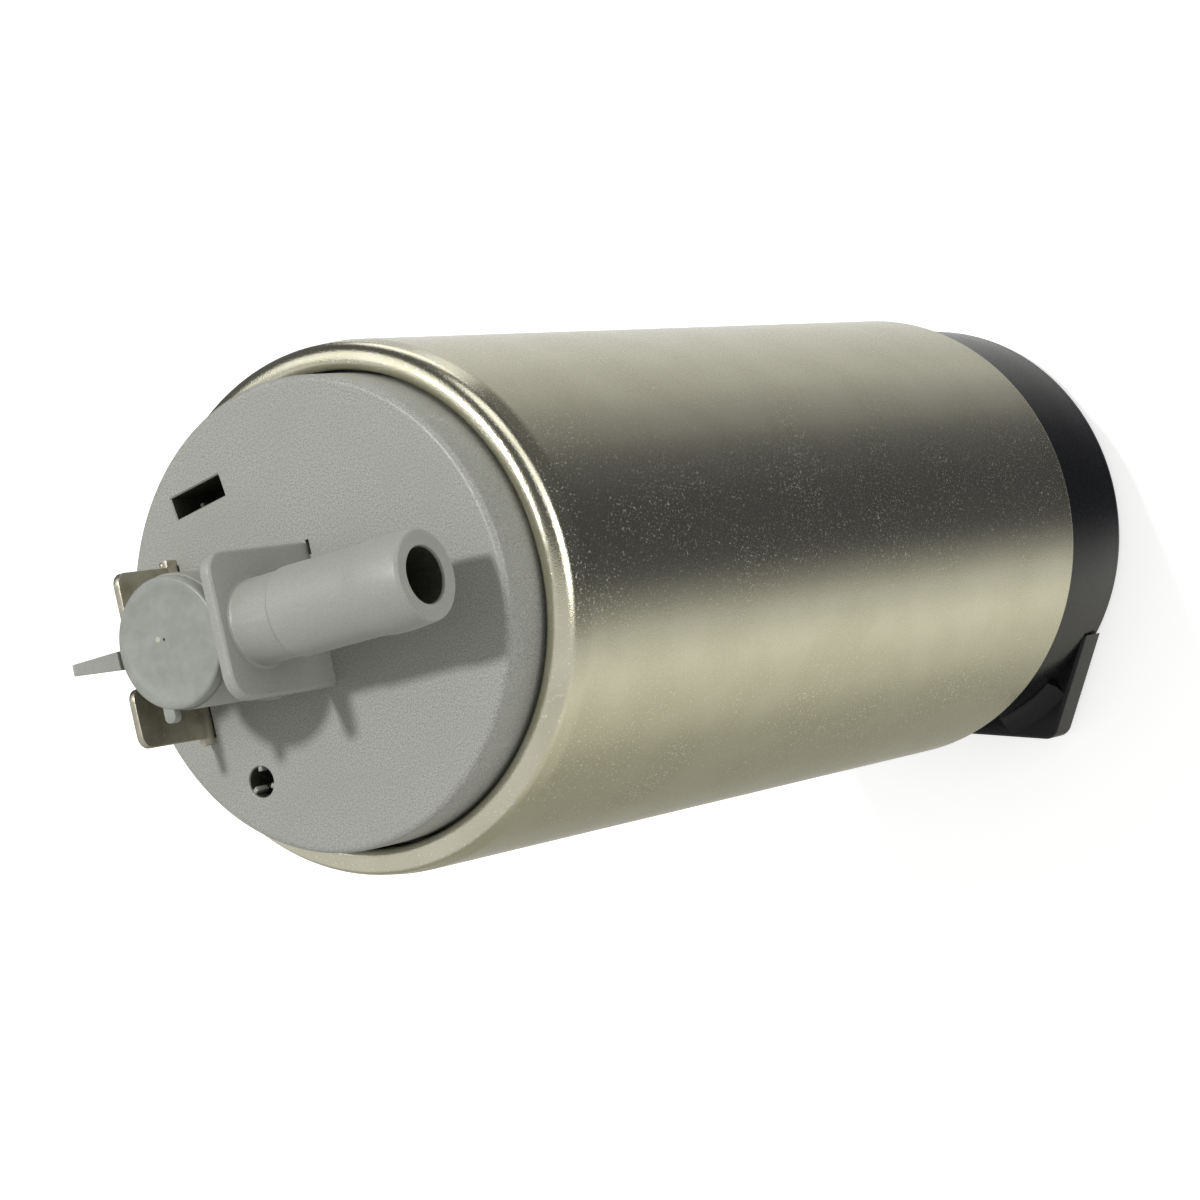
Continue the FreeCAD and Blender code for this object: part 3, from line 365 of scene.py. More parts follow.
mouldings = {
    # glass-filled nylon: light warm grey, fibre ends make a fine salt and pepper speckle
    "grey_plastic": ("glassFilledNylon", {
        "dark": "#868780", "pale": "#B1B2AA", "stain": "#95968E", "mottle": 0.13, "patch": 6.0,
        "patchDepth": 0.35, "grain": 0.12, "wear": 0.25, "rough": (0.34, 0.56), "bump": 0.3,
        "depth": 0.022, "ior": 1.53, "calmFrom": 102.6}),
    # the same nylon painted dark down inside its holes, as painted shade
    "hole_shade": ("nylonPaintedHoleShade", {
        "dark": "#33342C", "pale": "#484940", "stain": "#3C3C32", "mottle": 0.3, "patch": 1.5,
        "patchDepth": 0.4, "grain": 0.2, "wear": 0.1, "rough": (0.3, 0.5), "bump": 0.3, "depth": 0.03,
        "ior": 1.45}),
    # pale scar where the plug's gate was broken off
    "gate_white": ("gateScar", {
        "dark": "#B4B6A6", "pale": "#CCCEBF", "stain": "#9D9F8C", "mottle": 0.2, "patch": 0.6,
        "patchDepth": 0.3, "grain": 0.12, "wear": 0.1, "rough": (0.4, 0.55), "bump": 0.4, "depth": 0.03,
        "ior": 1.5}),
    # unfilled nylon plug: smooth, cooler, with the haze of a moulded skin
    "plug_plastic": ("smoothNylonPlug", {
        "dark": "#8F918B", "pale": "#9A9C96", "stain": "#888A85", "mottle": 1.2, "patch": 2.5,
        "patchDepth": 0.4, "grain": 0.3, "wear": 0.2, "rough": (0.34, 0.44), "bump": 0.15, "depth": 0.02,
        "ior": 1.53}),
    # black acetal: deep, semi-gloss, fine moulding grain
    "black_plastic": ("blackMouldedAcetal", {
        "dark": "#101112", "pale": "#18191B", "stain": "#131314", "mottle": 0.4, "patch": 5.0,
        "patchDepth": 0.5, "grain": 0.25, "wear": 0.4, "rough": (0.18, 0.28), "bump": 0.2, "depth": 0.02,
        "ior": 1.33}),
    # fuel-proof rubber: matt charcoal, slight bloom
    "rubber_black": ("fluoroRubber", {
        "dark": "#1C1B1A", "pale": "#2E2C2B", "stain": "#3A3836", "mottle": 0.5, "patch": 2.0,
        "patchDepth": 0.3, "grain": 0.2, "wear": 0.2, "rough": (0.5, 0.65), "bump": 0.3, "depth": 0.02,
        "ior": 1.52}),
    # moulded phenolic: red-brown with lighter filler
    "phenolic_brown": ("mouldedPhenolic", {
        "dark": "#4A2A1A", "pale": "#6E4630", "stain": "#3B2114", "mottle": 0.4, "patch": 3.0,
        "patchDepth": 0.4, "grain": 0.2, "wear": 0.3, "rough": (0.3, 0.45), "bump": 0.25, "depth": 0.02,
        "ior": 1.55}),
    # pressed carbon: matt near-black with a graphite glint
    "carbon_black": ("pressedCarbon", {
        "dark": "#1E1F20", "pale": "#3B3D3F", "stain": "#2A2B2C", "mottle": 0.15, "patch": 2.0,
        "patchDepth": 0.3, "grain": 0.15, "wear": 0.4, "rough": (0.35, 0.55), "bump": 0.3, "depth": 0.015,
        "ior": 1.8}),
    # sintered ferrite magnet: charcoal grey ceramic, ground faces
    "ferrite_grey": ("sinteredFerrite", {
        "dark": "#35373A", "pale": "#4C4F52", "stain": "#2C2E30", "mottle": 0.3, "patch": 4.0,
        "patchDepth": 0.4, "grain": 0.2, "wear": 0.4, "rough": (0.4, 0.55), "bump": 0.3, "depth": 0.02,
        "ior": 1.9}),
    # natural acetal: milky white, waxy sheen
    "acetal_white": ("naturalAcetal", {
        "dark": "#D8D6CC", "pale": "#EDEBE3", "stain": "#CFCBBD", "mottle": 0.6, "patch": 3.0,
        "patchDepth": 0.3, "grain": 0.3, "wear": 0.2, "rough": (0.3, 0.42), "bump": 0.15, "depth": 0.015,
        "ior": 1.48}),
}

finishes = {slot: metalFinish(*entry) for slot, entry in metals.items()}
finishes.update({slot: mouldedFinish(*entry) for slot, entry in mouldings.items()})
print("mixed", len(finishes), "finishes")


# Inner pieces: the solids themselves with their finishes

# the relief valve's spring and ball get the dark steel, as painted shade down in their hole
darkInHole = ("relief_spring", "relief_ball")
# springs and brush leads, each with the body that its lower end follows
yielding = {
    "check_spring": "check_valve", "relief_spring": "relief_valve", "brush_spring_left": "left_brush",
    "brush_spring_right": "right_brush", "brush_lead_left": "left_brush", "brush_lead_right": "right_brush",
}


def makeYielding(node, nodeName):
    # a welded, smooth-shaded copy that stands in for the CAD node
    copy = bpy.data.objects.new("yielding." + nodeName, node.data.copy())
    bpy.context.scene.collection.objects.link(copy)
    copy.matrix_world = node.matrix_world.copy()
    openPiece(copy)
    closePiece()
    bpy.ops.object.shade_smooth_by_angle(angle=math.radians(40))
    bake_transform(copy)
    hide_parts(nodeName)
    print("made", copy.name, len(copy.data.polygons), "faces")


for nodeName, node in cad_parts.items():
    slotName = node.material_slots[0].material.name.split(".")[0]
    node.material_slots[0].material = finishes["varnished_steel" if nodeName in darkInHole else slotName]
    if nodeName in yielding:
        makeYielding(node, nodeName)


# Steel can: drawn tube, top rolled over the outlet cap, foot crimped into the inlet cover

canForm = {
    "radius": 21.5, "inner": 20.5, "foot": 13.0, "crimpRadius": 20.12, "crimpRise": 0.7, "footRound": 0.22,
    "top": 98.3, "lipBore": 19.1, "lipDepth": 1.0, "lipFall": 2.8, "lipLean": 0.35, "lipRound": 1.3,
    "lipEdge": 0.58, "shoulder": 0.37, "burnishAndLightDepth": 1.35,
}


def makeCan(form):
    radius, foot, top = form["radius"], form["foot"], form["top"]
    crimpTop, lipFoot, lipUnder = foot + form["crimpRise"], top - form["lipFall"], top - form["lipDepth"]
    lipRadius = radius - form["lipLean"]
    steelCan = turnOnLathe("steelCan", [
        (form["crimpRadius"], foot), (radius - form["crimpRise"], foot), (radius, crimpTop),
        (radius, lipFoot), (lipRadius, top), (form["lipBore"], top), (form["lipBore"], lipUnder),
        (form["inner"], lipUnder), (form["inner"], crimpTop), (form["crimpRadius"], foot),
    ], steps=192, tubeWall=True)
    soften(ringAt(radius, lipFoot), form["shoulder"], 3)
    soften(ringAt(lipRadius, top), form["lipRound"], 10)
    soften(ringAt(form["lipBore"], top), form["lipEdge"], 6)
    soften(ringAt(radius, crimpTop), form["footRound"], 3)
    # the top of the can, the rolled lip, gets the burnished finish and its painted light
    rolled = (top - form["burnishAndLightDepth"]) * mm
    finishPiece(steelCan, "nickel_plated_steel", ["pump_can"], smooth=40,
                second=("rolled_lip_burnish_and_light", lambda part: part.calc_center_median().z > rolled))


makeCan(canForm)


# Outlet cap: one grey moulding with its tower, cross plate, nipple, fin, clip slot and relief hole

capForm = {
    "face": 102.44, "radius": 18.85, "edge": 0.55, "gutterBase": 94.8, "lipBore": 19.1, "flangeTop": 97.3,
    "bodyRadius": 20.48, "skirtFoot": 86.0, "skirtInner": 17.28, "roofBase": 99.04, "wall": 1.2,
    "towerX": -5.55, "towerRadius": 5.32, "towerRise": 10.16, "chamber": 3.6, "seatBore": 2.2,
    "seatDrop": 1.8,
    # widening and distance along, from the foot up
    "towerFlare": ((0.3, -1), (0.3, 0.02), (0.1, 0.12), (0, 0.3)),
    "plateBack": -0.35, "plateFront": 0.75, "plateHalf": 5.8, "plateRise": 12.06, "plateCorners": (1.7, 2.1),
    "plateEdge": 0.32,
    "nippleRise": 7.56, "nippleRadius": 3.55, "rootRadius": 3.4, "rootEnd": 4.6, "bore": 2.175, "mouth": 0.3,
    "rootFlare": ((0.3, -0.3), (0.3, 0.02), (0.1, 0.12), (0, 0.35)),
    "rootStep": ((0, -0.16), (-0.06, -0.1), (-0.06, 0)), "stepRise": 0.03,
    # reach and radius, from the root to the tip
    "barb": ((12.2, 3.55), (13.5, 3.75), (15.0, 3.75), (17.4, 3.55)), "barbRound": 0.3, "tipRound": 0.35,
    "finReach": -13.5, "finRise": 13.86, "finRoot": 0.75, "finTip": 0.45, "finShift": -0.3, "finFall": 2.7,
    "finTipRound": 0.3, "finEdge": 0.14, "finOverlap": 1.5,
    "slotPlace": (-9.03, 11.66), "slotSize": (5.4, 1.8), "slotTurn": 8.0, "slotDepth": 5.5,
    # the thin rib in the slot: width, height and how far it stays below the face
    "slotRib": (0.3, 0.35, 0.25), "slotBossSink": 1.2,
    "reliefPlace": (-9.0, -11.67), "reliefRadius": 1.25, "reliefLand": 1.6, "reliefSink": 0.2,
    "ribs": 3, "rib": 0.4, "ribRound": 0.08, "well": 2.2, "wellDrop": 7.5, "wellBossSink": 1.7,
    "bladeX": -13.0, "bladeY": (4.4, -4.85), "bladeHole": (0.84, 4.84), "bladeRim": 0.08, "rim": 0.12,
    # place, half size and depth of the slit at the plate's foot, whose walls get the painted shade, then how
    # far below the face that painted shade starts
    "footSlit": ((0.93, 5.3), (0.18, 0.6), 0.4), "shadeBelow": 0.15,
}


def layDown(form, piece):
    # from standing to lying along X at the nipple's height
    return turnPiece(piece, (0, math.pi / 2, 0), form["face"] + form["nippleRise"])


def makeNipple(form):
    root, front, end = form["rootRadius"], form["plateFront"], form["rootEnd"]
    outline = [(root + wider, front + reach) for wider, reach in form["rootFlare"]]
    outline += [(root + wider, end + reach) for wider, reach in form["rootStep"]]
    outline += [(form["nippleRadius"], end + form["stepRise"])]
    outline += [(radius, reach) for reach, radius in form["barb"]]
    nipple = turnOnLathe("nipple", outline)
    soften(ringAt(*outline[-1]), form["tipRound"], 4)
    barb = [ringAt(radius, reach) for reach, radius in form["barb"][:-1]]
    soften(lambda edge: any(onRing(edge) for onRing in barb), form["barbRound"], 3)
    return layDown(form, nipple)


def makePlate(form):
    face, back, front = form["face"], form["plateBack"], form["plateFront"]
    top = face + form["plateRise"]
    plate = squareBlock("plate", (back, -form["plateHalf"], face - over), (front, form["plateHalf"], top))
    for side, size in zip((1, -1), form["plateCorners"]):
        soften(edgeWhere(lambda x, y, z, run: abs(run.x) > along and y * side > form["plateHalf"] - near
                         and z > top - near), size, 6)
    soften(edgeWhere(lambda x, y, z, run: abs(run.x) < 1 - along and z > face
                     and (x > front - near or x < back + near)), form["plateEdge"], 4)
    closePiece()
    return plate


def makeFin(form, inner, rise, name, fall=0.0):
    # wedge that thins towards its tip; its top falls towards the tower
    face, reach, shift = form["face"], form["finReach"], form["finShift"]
    fin = squareBlock(name, (reach, shift - form["finRoot"], face - over),
                      (inner, shift + form["finRoot"], face + rise))
    pick("EDGE", edgeWhere(lambda x, y, z, run: z > face + rise - near and x > inner - near))
    bpy.ops.transform.translate(value=(0, 0, -fall * mm))
    pick("FACE", lambda part: part.normal.x < -along)
    bpy.ops.transform.resize(value=(1, form["finTip"] / form["finRoot"], 1),
                             center_override=(reach * mm, shift * mm, face * mm))
    soften(edgeWhere(lambda x, y, z, run: z > face + rise - near and x < reach + near),
           form["finTipRound"], 2)
    soften(edgeWhere(lambda x, y, z, run: z > face - over + near and x < inner - near), form["finEdge"], 3)
    closePiece()
    return fin


def flaredOutline(radius, bottom, top, flare, bend=0.3):
    # a drill whose mouth opens as it leaves the surface
    return [(radius, bottom), (radius, top - flare), (radius + flare * bend, top - flare * 0.3),
            (radius + flare, top + 0.01), (radius + flare, top + over)]


def flaredPocket(form, name, place, size, bottom, turn, flare):
    face = form["face"]
    x, y = place
    pocket = squareBlock(name, (x - size[0] / 2, y - size[1] / 2, bottom),
                         (x + size[0] / 2, y + size[1] / 2, face - flare), turn)
    pick("FACE", lambda part: part.normal.z > along)
    extrudePicked(0, 0, flare + 0.01)
    bpy.ops.transform.resize(value=[1 + 2 * flare / s for s in size] + [1], orient_type="GLOBAL",
                             orient_matrix=Matrix.Rotation(math.radians(turn), 3, "Z"),
                             orient_matrix_type="GLOBAL", center_override=(x * mm, y * mm, face * mm))
    extrudePicked(0, 0, over)
    closePiece()
    return pocket


def buildUp(cap, form):
    # what stands on the face and hangs below the roof
    face, towerX, towerRadius = form["face"], form["towerX"], form["towerRadius"]
    slotX, slotY = form["slotPlace"]
    length, width = [s / 2 + form["wall"] for s in form["slotSize"]]
    low, high = face - form["slotDepth"] - form["wall"], face - form["slotBossSink"]
    unite(cap, squareBlock("slotBoss", (slotX - length, slotY - width, low),
                           (slotX + length, slotY + width, high), form["slotTurn"]))
    outer = form["well"] + form["wall"]
    unite(cap, turnOnLathe("wellBoss", [(outer, form["roofBase"] - form["wellDrop"]),
                                        (outer, face - form["wellBossSink"])], *form["reliefPlace"]))
    unite(cap, turnOnLathe("tower", [(towerRadius + wider, face + rise) for wider, rise in form["towerFlare"]]
                           + [(towerRadius, face + form["towerRise"])], towerX, 0))
    back = towerX - towerRadius
    unite(cap, makeFin(form, back + form["finOverlap"], form["towerRise"], "finFoot"))
    unite(cap, makeFin(form, back - 0.02, form["finRise"], "finBlade", form["finFall"]))
    unite(cap, makePlate(form))
    unite(cap, makeNipple(form))


def coreOut(cap, form):
    face, towerX, roofBase, land = form["face"], form["towerX"], form["roofBase"], form["reliefLand"]
    carve(cap, turnOnLathe("chamber", [(form["chamber"], face - form["seatDrop"]),
                                       (form["chamber"], face + form["towerRise"] + over)], towerX, 0))
    carve(cap, turnOnLathe("seatBore", [(form["seatBore"], roofBase - over),
                                        (form["seatBore"], face - over)], towerX, 0))
    carve(cap, layDown(form, turnOnLathe("bore", flaredOutline(
        form["bore"], towerX, form["barb"][-1][0], form["mouth"], 0.35))))
    carve(cap, flaredPocket(form, "slotCore", form["slotPlace"], form["slotSize"], face - form["slotDepth"],
                            form["slotTurn"], form["rim"]))
    wide, high, sink = form["slotRib"]
    turn = math.radians(form["slotTurn"])
    drop = (form["slotSize"][1] - high) / 2
    x, y = form["slotPlace"][0] + drop * math.sin(turn), form["slotPlace"][1] - drop * math.cos(turn)
    buried = 2 * near
    unite(cap, squareBlock("slotRib", (
        x - wide / 2, y - high / 2 - buried, face - form["slotDepth"] - buried),
        (x + wide / 2, y + high / 2, face - sink), form["slotTurn"]))
    (x, y), (halfX, halfY), depth = form["footSlit"]
    carve(cap, squareBlock("footSlit", (x - halfX, y - halfY, face - depth),
                           (x + halfX, y + halfY, face + over)))
    for y in form["bladeY"]:
        carve(cap, flaredPocket(form, "bladeHole", (form["bladeX"], y), form["bladeHole"], roofBase - over,
                                0, form["bladeRim"]))
    carve(cap, turnOnLathe("well", [(form["well"], roofBase - form["wellDrop"] - over),
                                    (form["well"], face - land)], *form["reliefPlace"]))
    carve(cap, turnOnLathe("reliefHole", flaredOutline(form["reliefRadius"], face - land - over, face,
                                                       form["rim"] * 1.5), *form["reliefPlace"], steps=48))
    for i in range(form["ribs"]):
        turn = 90 + i * 360 / form["ribs"]
        x = form["reliefPlace"][0] + form["reliefRadius"] * math.cos(math.radians(turn))
        y = form["reliefPlace"][1] + form["reliefRadius"] * math.sin(math.radians(turn))
        top = face - form["reliefSink"]
        rib = squareBlock("rib", (x - form["rib"], y - form["rib"] / 2, face - land),
                          (x + form["rib"], y + form["rib"] / 2, top), turn)
        soften(edgeWhere(lambda x, y, z, run: z > top - near), form["ribRound"], 2)
        unite(cap, rib)


def makeCap(form):
    face = form["face"]
    cap = turnOnLathe("outletCap", [
        (form["skirtInner"], form["roofBase"]), (form["skirtInner"], form["skirtFoot"]),
        (form["bodyRadius"], form["skirtFoot"]), (form["bodyRadius"], form["flangeTop"]),
        (form["lipBore"], form["flangeTop"]), (form["lipBore"], form["gutterBase"]),
        (form["radius"], form["gutterBase"]), (form["radius"], face),
    ], steps=192)
    soften(ringAt(form["radius"], face), form["edge"], 5)
    buildUp(cap, form)
    coreOut(cap, form)
    slot, relief = Vector(form["slotPlace"]), Vector(form["reliefPlace"])
    foot, footHalf = form["footSlit"][:2]
    axisZ, tip = face + form["nippleRise"], form["barb"][-1][0]
    turn = Matrix.Rotation(-math.radians(form["slotTurn"]), 2)

    def within(offset, half):
        return all(abs(c) < h + near for c, h in zip(offset, half))

    def shadedInside(part):
        # walls of the clip slot, the relief hole, the foot slit and the nipple's bore, painted dark as the
        # shade inside them
        x, y, z = [c / mm for c in part.calc_center_median()]
        inSlot = within(turn @ (Vector((x, y)) - slot), [s / 2 for s in form["slotSize"]])
        inRelief = abs((Vector((x, y)) - relief).length - form["reliefRadius"]) < form["ribRound"]
        inFoot = within((x - foot[0], y - foot[1]), footHalf)
        inBore = math.hypot(y, z - axisZ) < form["bore"] + near and over < x < tip - form["mouth"]
        return inBore or (z < face - form["shadeBelow"] and (inSlot or inRelief or inFoot))

    # the dark nylon on these walls is painted shade
    finishPiece(cap, "grey_plastic", ["outlet_cap"], second=("hole_shade", shadedInside))


makeCap(capForm)


# Tower plug: smooth disc pressed on the tower, with its gate mark and the guide of the valve's stem

plugForm = {
    "x": -5.55, "radius": 5.18, "seat": 112.6, "top": 113.6, "round": 0.3, "spigot": 3.58, "spigotDrop": 0.5,
    "stemRoom": 1.0, "guide": 1.7,
    # radius and height over the top, then its place; the pit beside it is x, y and radius
    "gate": ((0.23, -0.3), (0.23, 0.04), (0.138, 0.1)), "gatePlace": (-6.45, 0.45),
    "gatePit": (-5.85, 0.35, 0.12), "pitDepth": 0.5,
    # how far to the side, width, inner and outer reach, height
    "nub": (1.65, 1.1, 4.62, 6.02, 0.8), "nubCorner": 0.45, "nubEdge": 0.12,
    # width and sink of each step from the rim inwards
    "crown": ((0.55, 0), (0.12, -0.05), (1.6, 0.05), (1.2, 0.04)),
}


def makePlug(form):
    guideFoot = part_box("tower_plug")[0][2] / mm
    seat, top = form["seat"], form["top"]
    base = seat - form["spigotDrop"]
    plug = turnOnLathe("towerPlug", [
        (form["stemRoom"], base), (form["stemRoom"], guideFoot), (form["guide"], guideFoot),
        (form["guide"], base), (form["spigot"], base), (form["spigot"], seat),
        (form["radius"], seat), (form["radius"], top)], form["x"], 0)
    soften(ringAt(form["radius"], top, form["x"], 0), form["round"], 5)
    # shallow step inside the rim, then the crowned middle
    pick("FACE", lambda part: part.normal.z > 0.999 and part.calc_center_median().z > (top - near) * mm)
    for width, sink in form["crown"]:
        bpy.ops.mesh.inset(thickness=width * mm, depth=sink * mm)
    gateX, gateY = form["gatePlace"]
    unite(plug, turnOnLathe("gateMark", [(radius, top + rise) for radius, rise in form["gate"]],
                            gateX, gateY, 24))
    x, y, radius = form["gatePit"]
    carve(plug, turnOnLathe("gatePit", [(radius, top - form["pitDepth"]), (radius, top + form["pitDepth"])],
                            x, y, 16))
    side, wide, inner, outer, high = form["nub"]
    x = form["x"] - side
    nub = squareBlock("rimNub", (x - wide / 2, -outer, seat), (x + wide / 2, -inner, seat + high))
    soften(edgeWhere(lambda x, y, z, run: abs(run.z) > along and y < -outer + near), form["nubCorner"], 5)
    soften(edgeWhere(lambda x, y, z, run: abs(run.z) < 1 - along and y < -inner - near), form["nubEdge"], 2)
    unite(plug, nub)

    def onGate(part):
        x, y, z = [c / mm for c in part.calc_center_median()]
        return math.hypot(x - gateX, y - gateY) < form["gate"][0][0] * 1.05 and z > top

    finishPiece(plug, "plug_plastic", ["tower_plug"], second=("gate_white", onGate))


makePlug(plugForm)


# Terminal blades: stamped strip, tinned, with shoulders that rest on the cap

bladeForm = {
    "x": -13.0, "thick": 0.62, "half": 2.4, "corner": 1.0, "shoulder": 0.6, "shoulderRise": 1.2,
    "tailHalf": 1.2, "edge": 0.1,
    # node, y, height over the cap's face, side of its shoulder
    "blades": {"positiveBlade": ("terminal_positive", 4.4, 7.3, 1),
               "negativeBlade": ("terminal_negative", -4.85, 8.4, -1)},
    # a small bead of tin on one shoulder: its radius and place
    "beadOn": "positiveBlade", "bead": (0.36, (-13.3, 7.05, 103.35)),
}


def addBead(blade, radius, place):
    clearSelection()
    bpy.ops.mesh.primitive_uv_sphere_add(segments=24, ring_count=12, radius=radius * mm,
                                         location=[c * mm for c in place])
    startPiece("bead")
    closePiece()
    blade.select_set(True)
    bpy.context.view_layer.objects.active = blade
    bpy.ops.object.join()


def makeBlade(form, name, node, y, rise, sign):
    face, roofBase = capForm["face"], capForm["roofBase"]
    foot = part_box(node)[0][2] / mm
    middle, half, halfThick = form["x"], form["half"], form["thick"] / 2
    blade = squareBlock(name, (middle - halfThick, y - half, roofBase),
                        (middle + halfThick, y + half, face + rise))
    for height in (face, face + form["shoulderRise"]):
        bpy.ops.mesh.select_all(action="SELECT")
        bpy.ops.mesh.bisect(plane_co=(0, 0, height * mm), plane_no=(0, 0, 1))
    shoulderZ = (face + form["shoulderRise"] / 2) * mm
    pick("FACE", lambda part: part.normal.y * sign > along
         and abs(part.calc_center_median().z - shoulderZ) < near * mm)
    extrudePicked(0, sign * form["shoulder"], 0)
    pick("FACE", lambda part: part.normal.z < -along and part.calc_center_median().z < (roofBase + near) * mm)
    bpy.ops.mesh.inset(thickness=0, depth=0)
    bpy.ops.transform.resize(value=(1, form["tailHalf"] / half, 1),
                             center_override=(middle * mm, y * mm, roofBase * mm))
    extrudePicked(0, 0, foot - roofBase)
    soften(edgeWhere(lambda x, y, z, run: abs(run.x) > along and z > face + rise - near), form["corner"], 6)
    soften(edgeWhere(lambda x, y, z, run: abs(run.x) < 1 - along and z > face + near
                     and abs(abs(x - middle) - halfThick) < near), form["edge"], 2)
    if name == form["beadOn"]:
        closePiece()
        addBead(blade, *form["bead"])
    finishPiece(blade, "tinned_brass", [node])


for bladeName, bladeSize in bladeForm["blades"].items():
    makeBlade(bladeForm, bladeName, *bladeSize)


# Inlet cover: black moulding with a rounded foot, cored underside, inlet snout and corner lug

coverForm = {
    "footRadius": 20.2, "land": 2.2, "round": 1.5, "taper": 6.5, "radius": 20.48, "top": 19.0,
    "crimpFoot": 13.0, "crimpDepth": 0.4, "crimpRise": 0.7,
    "rim": 15.8, "rimRound": 0.4, "recess": 3.4, "hub": 4.4,
    "ribs": 5, "rib": 0.8, "ribDrop": 1.2, "ribRound": 0.2,
    "inletOffset": 9.4, "inletAngle": 150.0, "inlet": 4.4, "inletLead": (0.4, 0.5),
    "snoutWall": 1.5, "snoutRise": 0.5, "snoutRound": 0.3,
    "lugAngle": -69.0, "lugReach": 24.9, "lugBase": 0.9, "lugTop": 4.3, "lugCorner": 1.0, "lugEdge": 0.35,
    "lugStep": 3.4, "lugBlend": 2.2,
}


def makeLug(form):
    # wedge whose flanks leave the foot at a tangent, made along +X and turned with the cover
    foot, reach = form["footRadius"], form["lugReach"]
    tangentX = foot ** 2 / reach
    tangentY = foot * math.sqrt(1 - (foot / reach) ** 2)
    share = form["lugStep"] / math.sqrt(reach ** 2 - foot ** 2)
    startX = tangentX + (reach - tangentX) * share
    startY = tangentY * (1 - share)
    lug = squareBlock("lug", (startX, -startY, form["lugBase"]), (reach, startY, form["lugTop"]))
    pick("VERT", lambda part: part.co.x > (reach - near) * mm)
    bpy.ops.transform.resize(value=(1, 0, 1), center_override=(reach * mm, 0, 0))
    bpy.ops.mesh.remove_doubles(threshold=weld)
    soften(edgeWhere(lambda x, y, z, run: abs(run.z) > along and x > reach - near), form["lugCorner"], 6)
    soften(edgeWhere(lambda x, y, z, run: abs(run.z) < 1 - along and x > startX + near), form["lugEdge"], 3)
    closePiece()
    return lug


def makeLugBlend(form):
    # hollow ramp from the lug's top up to the foot, a ring cut down to what lies between the flanks
    foot, blend, top = form["footRadius"], form["lugBlend"], form["lugTop"]
    low = (form["lugBase"] + top) / 2
    spread = math.acos(foot / form["lugReach"]) - math.acos(foot / (foot + blend + 0.1))
    hollow = [(foot + blend * (1 - math.sin(a)), top + blend * (1 - math.cos(a)))
              for a in [math.radians(step * 10) for step in range(10)]]
    ramp = turnOnLathe("lugBlend", [(foot - blend, low), (foot + blend, low)] + hollow + [
        (foot - blend, top + blend), (foot - blend, low)], steps=192, tubeWall=True)
    for side in (1, -1):
        bpy.ops.mesh.select_all(action="SELECT")
        bpy.ops.mesh.bisect(plane_co=(0, 0, 0), plane_no=(math.sin(spread), side * math.cos(spread), 0),
                            clear_inner=True, use_fill=True)
    closePiece()
    return ramp


def makeCover(form):
    rim, hub, recess, foot, radius = [form[key] for key in ("rim", "hub", "recess", "footRadius", "radius")]
    crimpRadius, crimpTop = radius - form["crimpDepth"], form["crimpFoot"] + form["crimpRise"]
    cover = turnOnLathe("inletCover", [
        (rim, recess), (rim, 0), (foot, 0), (foot, form["land"]), (radius, form["taper"]),
        (radius, form["crimpFoot"]), (crimpRadius, form["crimpFoot"]), (crimpRadius, crimpTop),
        (radius, crimpTop), (radius, form["top"])], steps=192)
    soften(ringAt(foot, 0), form["round"], 7)
    soften(ringAt(rim, 0), form["rimRound"], 3)
    middleHub = turnOnLathe("hub", [(hub, 0), (hub, recess + over)])
    soften(ringAt(hub, 0), form["rimRound"], 3)
    unite(cover, middleHub)
    for i in range(form["ribs"]):
        turn = 180 / form["ribs"] + i * 360 / form["ribs"]
        middle, half = (rim + hub) / 2, (rim + over - hub) / 2
        x, y = middle * math.cos(math.radians(turn)), middle * math.sin(math.radians(turn))
        rib = squareBlock("rib", (x - half, y - form["rib"], form["ribDrop"]),
                          (x + half, y + form["rib"], recess + over), turn)
        soften(edgeWhere(lambda x, y, z, run: z < form["ribDrop"] + near), form["ribRound"], 2)
        unite(cover, rib)
    angle = math.radians(form["inletAngle"])
    inletPlace = form["inletOffset"] * math.cos(angle), form["inletOffset"] * math.sin(angle)
    inlet, rise, outer = form["inlet"], form["snoutRise"], form["inlet"] + form["snoutWall"]
    snout = turnOnLathe("snout", [(outer, rise), (outer, recess + over)], *inletPlace)
    soften(ringAt(outer, rise, *inletPlace), form["snoutRound"], 3)
    unite(cover, snout)
    wider, lead = form["inletLead"]
    carve(cover, turnOnLathe("inlet", [(inlet + wider, -over), (inlet + wider, rise), (inlet, rise + lead),
                                       (inlet, form["top"] + over)], *inletPlace))
    unite(cover, makeLug(form))
    unite(cover, makeLugBlend(form))
    # closing it once more welds the slivers that the joins leave
    openPiece(cover)
    closePiece()
    turnPiece(cover, (0, 0, math.radians(form["lugAngle"])))
    finishPiece(cover, "black_plastic", ["inlet_cover"])


makeCover(coverForm)


# Studio: white floor that keeps the pump's shadow, a soft lamp and a fill lamp, an even room

